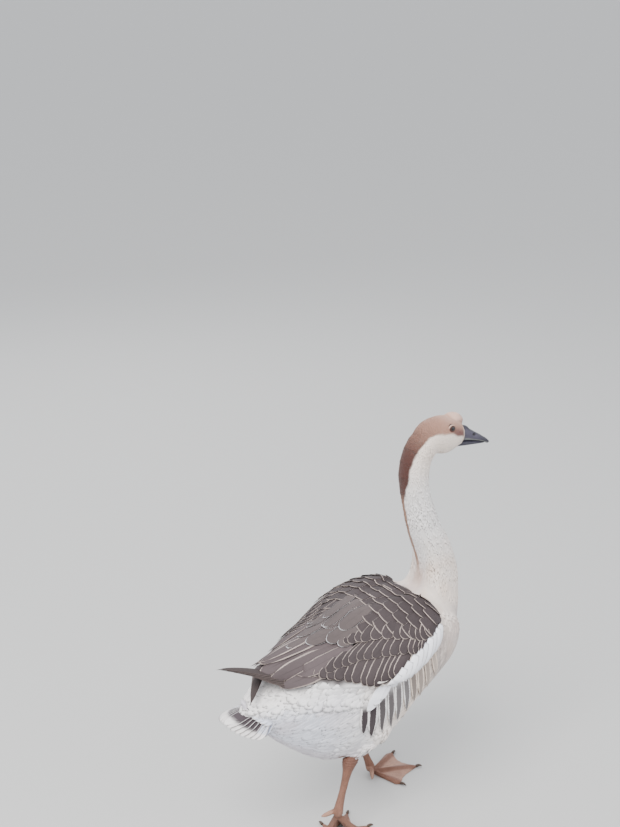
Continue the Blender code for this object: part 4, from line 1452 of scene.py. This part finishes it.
tail = Plumes("tail_feathers", wing_feathers)
for k in range(TAIL_PAIRS):
    for hand in ((1, -1) if k else (1,)):
        angle = hand * TAIL_HALF_ANGLE * k / (TAIL_PAIRS - 1)
        length = TAIL_REACH * (1 - 0.14 * (k / (TAIL_PAIRS - 1)) ** 2)
        colour = COOL_WHITE if k > TAIL_PAIRS - 3 else TAIL_GREY
        tail.add(tail_path(angle, length, TAIL_STEP * k), TAIL_WIDTH, colour, WHITE,
                 up=(-0.22, 0.35 * math.sin(math.radians(angle)), 1), rows=18, depth=(0, 0),
                 roll=-0.0012 * hand, roundness=0.12, root_width=0.5, tip_width=0.80, widest=0.7,
                 cling=False, luck=chance.random(), pale_tip=WHITE)
tail.finish_piece("plumage_white", "tail_fan")

# %% Feathers over and under the root of the tail
TAIL_COVERTS = 13
# Each row: 1 above the tail or 0 below, half spread in degrees, length, sink, half width.
COVERT_ROWS = ((1, 46, 0.058, -0.0040, 0.0120), (1, 52, 0.042, -0.0075, 0.0120),
               (1, 58, 0.026, -0.0110, 0.0120), (0, 40, 0.080, 0.0100, 0.0120),
               (0, 46, 0.064, 0.0150, 0.0120), (0, 52, 0.046, 0.0200, 0.0115))
coverts = Plumes("tail_coverts", body_feathers)
for above, spread, reach, sink, half in COVERT_ROWS:
    for k in range(TAIL_COVERTS):
        share = 2 * k / (TAIL_COVERTS - 1) - 1
        path = tail_path(spread * share, reach, sink + above * 0.007 * abs(share))
        path[:, 2] += above * 0.012 * np.linspace(1, 0, SHAFT_SAMPLES) ** 2 * (1 - abs(share) * 0.6)
        sideways = math.sin(math.radians(spread * share))
        up = (-0.4, 0.9 * sideways, 1) if above else (0.3, 0.7 * sideways, -1)
        coverts.add(path, half, COOL_WHITE, WHITE, up=up, rows=10, columns=6, depth=(0, 0), roundness=0.2,
                    arch=0.0012, cling=False, luck=chance.random())
coverts.finish_piece("plumage_white")

# %% [markdown]
# Bill
#
# A goose's bill is deep at its base, hollow in profile and ends in a hard nail. Each
# half is a loft with boxy ovals. The vertices are then moved by rules: a
# nostril sinks in at either side, a fine row of teeth runs along the edge
# of the upper half, and the nail bulges a little.

# %% Upper and lower bill
UPPER_BILL = [
    (0.2000, 0.6612, 0.0165, 0.0076, 0.0124), (0.2090, 0.6600, 0.0186, 0.0073, 0.0128),
    (0.2175, 0.6582, 0.0190, 0.0070, 0.0130), (0.2240, 0.6566, 0.0155, 0.0066, 0.0127),
    (0.2305, 0.6550, 0.0126, 0.0062, 0.0122), (0.2385, 0.6522, 0.0104, 0.0051, 0.0116),
    (0.2465, 0.6495, 0.0086, 0.0042, 0.0110), (0.2595, 0.6440, 0.0058, 0.0028, 0.0101),
    (0.2680, 0.6402, 0.0034, 0.0034, 0.0080), (0.2720, 0.6384, 0.0018, 0.0028, 0.0044),
    (0.2731, 0.6380, 0.0005, 0.0007, 0.0010)]
LOWER_BILL = [
    (0.1990, 0.6506, 0.0050, 0.0072, 0.0102), (0.2155, 0.6480, 0.0050, 0.0060, 0.0110),
    (0.2315, 0.6454, 0.0044, 0.0046, 0.0102), (0.2475, 0.6430, 0.0036, 0.0034, 0.0090),
    (0.2585, 0.6412, 0.0026, 0.0024, 0.0072), (0.2640, 0.6402, 0.0009, 0.0011, 0.0030)]
NOSTRIL = np.array([0.2335, 0.0100, 0.6605])
NOSTRIL_SIZE = np.array([0.0060, 0.0070, 0.0028])
NOSTRIL_DEPTH = 0.0022
TOOTH = 0.0019                     # length of one tooth on the edge of the bill
SLATE = paint(64, 60, 74)
SLATE_DARK = paint(32, 32, 40)
EDGE_PALE = paint(122, 126, 118)
NOSTRIL_PAINTED_SHADE = paint(20, 18, 22)
bill_finish = bare_material("bill horn", 0.00012, 0.0016, 0.05, 0.30, coat=0.25)


def bill_half(name, rows, upper):
    corners, faces = loft(level_rows(rows), 8, 48, 2.2)
    points = np.array(corners)
    x, hand = points[:, 0], np.sign(points[:, 1])
    lower_edge = np.interp(x, [r[0] for r in rows], [r[1] - r[3 if upper else 2] * 0.8 for r in rows])
    top = np.interp(x, [r[0] for r in rows], [r[1] + r[2] for r in rows])
    share = (points[:, 2] - lower_edge) / np.maximum(top - lower_edge, 1e-4)
    colour = blend_colours(SLATE, SLATE_DARK, ease(0.236, 0.262, x) * 0.8)
    if upper:
        folded = points * [1, 0, 1] + [0, 1, 0] * np.abs(points)
        hole = np.clip(1 - np.linalg.norm((folded - NOSTRIL) / NOSTRIL_SIZE, axis=1), 0, 1)
        points[:, 1] -= hand * NOSTRIL_DEPTH * ease(0, 0.55, hole)
        teeth = (share < 0.10) & (x > 0.206) & (x < 0.262)
        points[teeth, 2] += 0.00035 * np.sin(points[teeth, 0] * 2 * math.pi / TOOTH)
        crease = np.exp(-((share - 0.22) / 0.05) ** 2) * ease(0.207, 0.214, x) * (1 - ease(0.255, 0.262, x))
        points[:, 1] -= hand * 0.0005 * crease
        points[:, 2] += 0.0005 * (ease(0.2615, 0.2640, x) * ease(0.3, 0.7, share))
        # The dent of the nostril is painted almost black, as painted shade for the inside of the hole.
        colour = layered(colour, (SLATE_DARK, 0.75 * ease(0.75, 1.0, share)),
                         (EDGE_PALE, 0.6 * np.exp(-((share - 0.14) / 0.07) ** 2)),
                         (NOSTRIL_PAINTED_SHADE, ease(0.05, 0.5, hole)))
    else:
        colour = blend_colours(colour, SLATE_DARK, 0.55)
    piece = new_piece(name, points, faces, bill_finish)
    store_colour(piece.data, "mark", colour)
    place(piece, "bill", name.replace("goose_", ""))


bill_half("goose_bill_upper", UPPER_BILL, True)
bill_half("goose_bill_lower", LOWER_BILL, False)

# %% [markdown]
# Knob
#
# The swelling on the forehead is soft, fleshy and almost bare. It is a loft with
# a few low dents, in a pale pinkish buff, with fine pores from the shared scale group.

# %% Forehead knob
KNOB = [(0.1735, 0, 0.6905, 0.0050, 0.0050, 0.0050), (0.1815, 0, 0.6920, 0.0122, 0.0110, 0.0110),
        (0.1925, 0, 0.6912, 0.0147, 0.0130, 0.0128), (0.2015, 0, 0.6882, 0.0132, 0.0135, 0.0112),
        (0.2072, 0, 0.6845, 0.0090, 0.0105, 0.0080), (0.2100, 0, 0.6825, 0.0015, 0.0020, 0.0015)]
KNOB_MIDDLE = np.array([0.196, 0, 0.688])
knob_finish = bare_material("knob skin", 0.00025, 0.0011, 0.22, 0.35, sheen=0.1)
corners, faces = loft(KNOB, 8, 40)
points = np.array(corners)
outward = points - KNOB_MIDDLE
outward /= np.linalg.norm(outward, axis=1)[:, None]
points = points + outward * 0.0004 * (wave(points, 0.006) + 0.6 * wave(points[:, ::-1], 0.0035))[:, None]
knob = new_piece("knob", points, faces, knob_finish)
low = 1 - ease(0.688, 0.700, points[:, 2])
store_colour(knob.data, "mark", layered(
    KNOB_PINK, (FACE_BROWN, 0.45 * low + 0.15 * ease(0.2, 0.9, wave(points, 0.008))),
    (CROWN_BROWN, 0.8 * (1 - ease(0.178, 0.188, points[:, 0])))))
place(knob, "knob", "forehead_knob")

# %% [markdown]
# Eyes
#
# The eyeball is a sphere with its pole facing out. A number on each vertex, the
# angle from the pole, lets the material draw pupil, iris and dark rim. A clear
# coat gives the wet shine. A fleshy ring of lid closes the gap to the feathers.

# %% Eyeballs and lids
EYE_FACING = np.array([-0.04, 1.0, 0.14])
EYE_RINGS, EYE_ROUND = 19, 36
LID_PALE = paint(184, 152, 136)
LID_EDGE = paint(52, 34, 30)
LID_TURNS, LID_RING = 48, 8
LID_OPENING, LID_NARROWS, LID_HANGS = 47, 8, 3   # degrees: half width, less above and below, less above
LID_HALF = 12                     # half width of the ring of lid, in degrees


def eye_finish():
    material, shader = new_material("eye")
    tree = material.node_tree
    gaze = stored(tree, "gaze", "Fac")
    iris = mix_colours(noise(on_object(tree), 1600.0, 3.0), (*paint(34, 16, 11), 1), (*paint(70, 36, 24), 1))
    colour = mix_colours(soft_step(gaze, 25.0, 28.0), (0.004, 0.003, 0.003, 1), iris)
    feed(shader, {"Base Color": mix_colours(soft_step(gaze, 36.0, 44.0), colour, (*paint(34, 20, 18), 1)),
                  "Roughness": 0.30, "Specular IOR Level": 0.1, "Coat Weight": 0.8, "Coat Roughness": 0.03})
    return material


def from_eye(eye, reach, tilt, turn):
    """A place at a distance from the eye's middle, by the angle from its pole and the turn round it."""
    middle, pole, level, rise = eye
    sideways = level * math.cos(turn) + rise * math.sin(turn)
    return middle + reach * (pole * math.cos(tilt) + math.sin(tilt) * sideways)


lid_finish = bare_material("eyelid", 0.0001, 0.0006, 0.2, 0.4)
eye_material = eye_finish()
for hand, label in ((1, "left"), (-1, "right")):
    middle, pole = EYE_PLACE * [1, hand, 1], EYE_FACING * [1, hand, 1]
    pole = pole / np.linalg.norm(pole)
    level = np.cross([0, 0, 1.0], pole)
    level /= np.linalg.norm(level)
    eye = middle, pole, level, np.cross(pole, level)
    corners, gaze = [middle + pole * EYE_RADIUS], [0.0]
    for i in range(1, EYE_RINGS + 1):
        tilt = math.pi * i / (EYE_RINGS + 1)
        corners += [from_eye(eye, EYE_RADIUS, tilt, 2 * math.pi * j / EYE_ROUND) for j in range(EYE_ROUND)]
        gaze += [math.degrees(tilt)] * EYE_ROUND
    faces = ring_faces(EYE_RINGS, EYE_ROUND, 1, 0, len(corners))
    eyeball = new_piece(f"eyeball_{label}", corners + [middle - pole * EYE_RADIUS], faces, eye_material)
    store_numbers(eyeball.data, "gaze", gaze + [180.0])
    place(eyeball, "eye", f"eye_{label}")
    corners, faces, marks = [], [], []
    for j in range(LID_TURNS):
        turn = 2 * math.pi * j / LID_TURNS
        # The opening is wider than high, and the upper lid hangs a little lower.
        opening = LID_OPENING - LID_NARROWS * abs(math.sin(turn)) - (LID_HANGS if math.sin(turn) > 0 else 0)
        for i in range(LID_RING):
            part = 2 * math.pi * i / LID_RING
            tilt = math.radians(opening + LID_HALF - LID_HALF * math.cos(part))
            corners.append(from_eye(eye, EYE_RADIUS * (1.02 + 0.06 * math.sin(part)), tilt, turn))
            ring = blend_colours(FACE_BROWN, LID_PALE, ease(-0.5, 0.4, math.sin(turn)))
            marks.append(blend_colours(LID_EDGE, ring, ease(-0.95, -0.3, -math.cos(part))))
            a, b, k = j * LID_RING, ((j + 1) % LID_TURNS) * LID_RING, (i + 1) % LID_RING
            faces.append((a + i, a + k, b + k, b + i))
    lid = new_piece(f"eyelid_{label}", corners, faces, lid_finish)
    store_colour(lid.data, "mark", marks)
    place(lid, "knob")

# %% [markdown]
# Legs and feet
#
# Leg, foot and hind toe are joined into one skin for each side, in the same way
# as the body, but with a finer voxel. Rows of broad plates run down the front of the
# leg and along the toes. They are moved vertices: a wave along each toe. The web
# between the toes is paler, and the sole is darker with dirt and painted shade. The bare hock of the
# right leg is swollen and wrinkled.

# %% Leg skins
LEG_VOXEL = 0.0011
LEG_GROW = 0.0003
FOOT_JOINTS = {"left": (0.0855, 0.0720), "right": (-0.0825, -0.0645)}
TOE_TURNS = {"left": (24, -20, -68), "right": (-2, 42, 90)}     # outer, middle and inner toe, in degrees
FOOT_TOP = {"left": 0.020, "right": 0.058}       # height under which a point belongs to the foot
HOCK_HEIGHT = {"left": 0.094, "right": 0.139}
TOE_HALF_WIDTH = 0.0055
PLATE = 0.0030                    # length of one plate on leg and toes
HOCK_SWELL, SWELL_HEIGHT = 0.0032, 0.140         # how much, and where, the right hock is swollen
WRINKLE = 0.0042                  # from one wrinkle of the hock to the next
PLATE_RELIEF, WRINKLE_RELIEF, FOLD_RELIEF = 0.00035, 0.0003, 0.0002   # of plates, wrinkles, web folds
WEB_PEACH = paint(182, 142, 122)
SOLE_DIRT_AND_SHADE = paint(80, 54, 44)
leg_finish = bare_material("leg skin", 0.0003, 0.0016, 0.16, 0.45, groove_colour="groove", coat=0.08)


def hump(value, middle, width):
    """1 at the middle and down to 0 on both sides of it."""
    return np.exp(-((value - middle) / width) ** 2)


def drop_bubbles(mesh):
    """Delete every closed shell but the largest, such as a bubble that the voxels left inside."""
    ends = edge_ends(mesh)
    label = np.arange(len(mesh.vertices))
    spread = label + 1
    while (spread != label).any():
        spread = label.copy()
        low = np.minimum(label[ends[:, 0]], label[ends[:, 1]])
        np.minimum.at(spread, ends[:, 0], low)
        np.minimum.at(spread, ends[:, 1], low)
        label, spread = spread[spread], label
    bm = bmesh.new()
    bm.from_mesh(mesh)
    bm.verts.ensure_lookup_table()
    others = np.flatnonzero(label != np.bincount(label).argmax())
    bmesh.ops.delete(bm, geom=[bm.verts[i] for i in others], context='VERTS')
    bm.to_mesh(mesh)
    bm.free()


def foot_lines(points, label):
    """Distance from the nearest toe's middle line, and distance along that toe."""
    joint = np.array(FOOT_JOINTS[label])
    flat = points[:, :2] - joint
    best, along_toe = np.full(len(points), 1.0), np.zeros(len(points))
    for turn in TOE_TURNS[label]:
        way = np.array([math.cos(math.radians(turn)), math.sin(math.radians(turn))])
        run = flat @ way
        off = np.where(run > 0, np.abs(flat @ np.array([-way[1], way[0]])), np.linalg.norm(flat, axis=1))
        closer = off < best
        best[closer], along_toe[closer] = off[closer], run[closer]
    return best, along_toe


for label in ("left", "right"):
    nodes = [f"tarsus_{label}", f"foot_{label}", f"hallux_{label}"]
    leg = joined_form(f"leg_{label}", nodes, LEG_VOXEL, LEG_GROW, False)
    drop_bubbles(leg.data)
    points = relax(corners_of(leg.data), edge_ends(leg.data), 3)
    set_corners(leg.data, points)
    normals = normals_of(leg.data)
    height = points[:, 2]
    off, run = foot_lines(points, label)
    low = height < FOOT_TOP[label]
    on_toe = 1 - ease(TOE_HALF_WIDTH * 0.7, TOE_HALF_WIDTH * 1.3, off)
    toe = np.where(low, on_toe, 0) * ease(-0.2, 0.4, normals[:, 2])
    shin = np.where(~low, ease(-0.1, 0.6, normals[:, 0]), 0)
    plates = np.where(low, toe * np.abs(np.sin(run * math.pi / PLATE)), 0)
    plates = plates + shin * np.abs(np.sin(height * math.pi / (PLATE * 1.15)))
    wrinkle = hump(height, HOCK_HEIGHT[label], 0.012) * np.sin(height * 2 * math.pi / WRINKLE)
    web = np.where(low, ease(TOE_HALF_WIDTH, TOE_HALF_WIDTH * 2, off), 0)
    from_joint = points[:, :2] - FOOT_JOINTS[label]
    folds = web * np.sin(np.degrees(np.arctan2(from_joint[:, 1], from_joint[:, 0])) * 0.55)
    bump = PLATE_RELIEF * (plates - 0.5) * (toe + shin) + WRINKLE_RELIEF * wrinkle + FOLD_RELIEF * folds
    if label == "right":
        bump = bump + HOCK_SWELL * hump(height, SWELL_HEIGHT, 0.018) + 0.0004 * wrinkle
    points = points + normals * bump[:, None]
    set_corners(leg.data, points)
    # The faces of the foot that look down are painted darker, with dirt and painted shade, and blotches of
    # dirt are spread over the leg.
    colour = layered(LEG_ORANGE, (WEB_PEACH, web * 0.8),
                     (HOCK_BROWN, 0.6 * hump(points[:, 2], HOCK_HEIGHT[label], 0.020)),
                     (SOLE_DIRT_AND_SHADE, 0.8 * ease(0.2, 0.8, -normals[:, 2]) * low),
                     (SOLE_DIRT_AND_SHADE, 0.25 * ease(0.2, 0.9, wave(points, 0.014))))
    store_colour(leg.data, "mark", colour)
    store_colour(leg.data, "groove", blend_colours(colour, SOLE_DIRT_AND_SHADE * 0.6, 0.55))
    refinish(leg.data, leg_finish)
    place(leg, "leg_skin", *nodes)

# %% [markdown]
# Claws
#
# Every front toe ends in a short claw, curved down and worn at the tip. Its place
# comes from the box of the CAD claw, and its direction from the toe.

# %% Claws
CLAW_LENGTH = 0.0092
# Each row: share of the length from the middle, height, radius.
CLAW_ROWS = ((-0.62, 0.0024, 0.0026), (-0.30, 0.0031, 0.0026), (0.05, 0.0034, 0.0021),
             (0.34, 0.0026, 0.0014), (0.56, 0.0014, 0.0007), (0.62, 0.0009, 0.0003))
claw_finish = bare_material("claw horn", 0.0001, 0.0030, 0.05, 0.5, (*paint(74, 58, 48), 1),
                            (*paint(50, 38, 32), 1), coat=0.2)
for label in ("left", "right"):
    for turn, toe in zip(TOE_TURNS[label], ("outer", "middle", "inner")):
        low_corner, high_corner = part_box(f"claw_{label}_{toe}")
        middle = (low_corner + high_corner) / 2
        way = Vector((math.cos(math.radians(turn)), math.sin(math.radians(turn)), 0))
        rows = [(*(middle + way * CLAW_LENGTH * share).to_2d(), height, size * 1.1, size, size)
                for share, height, size in CLAW_ROWS]
        corners, faces = loft(rows, 4, 14)
        claw = new_piece(f"horn_claw_{label}_{toe}", corners, faces, claw_finish)
        place(claw, "claw", f"claw_{label}_{toe}")
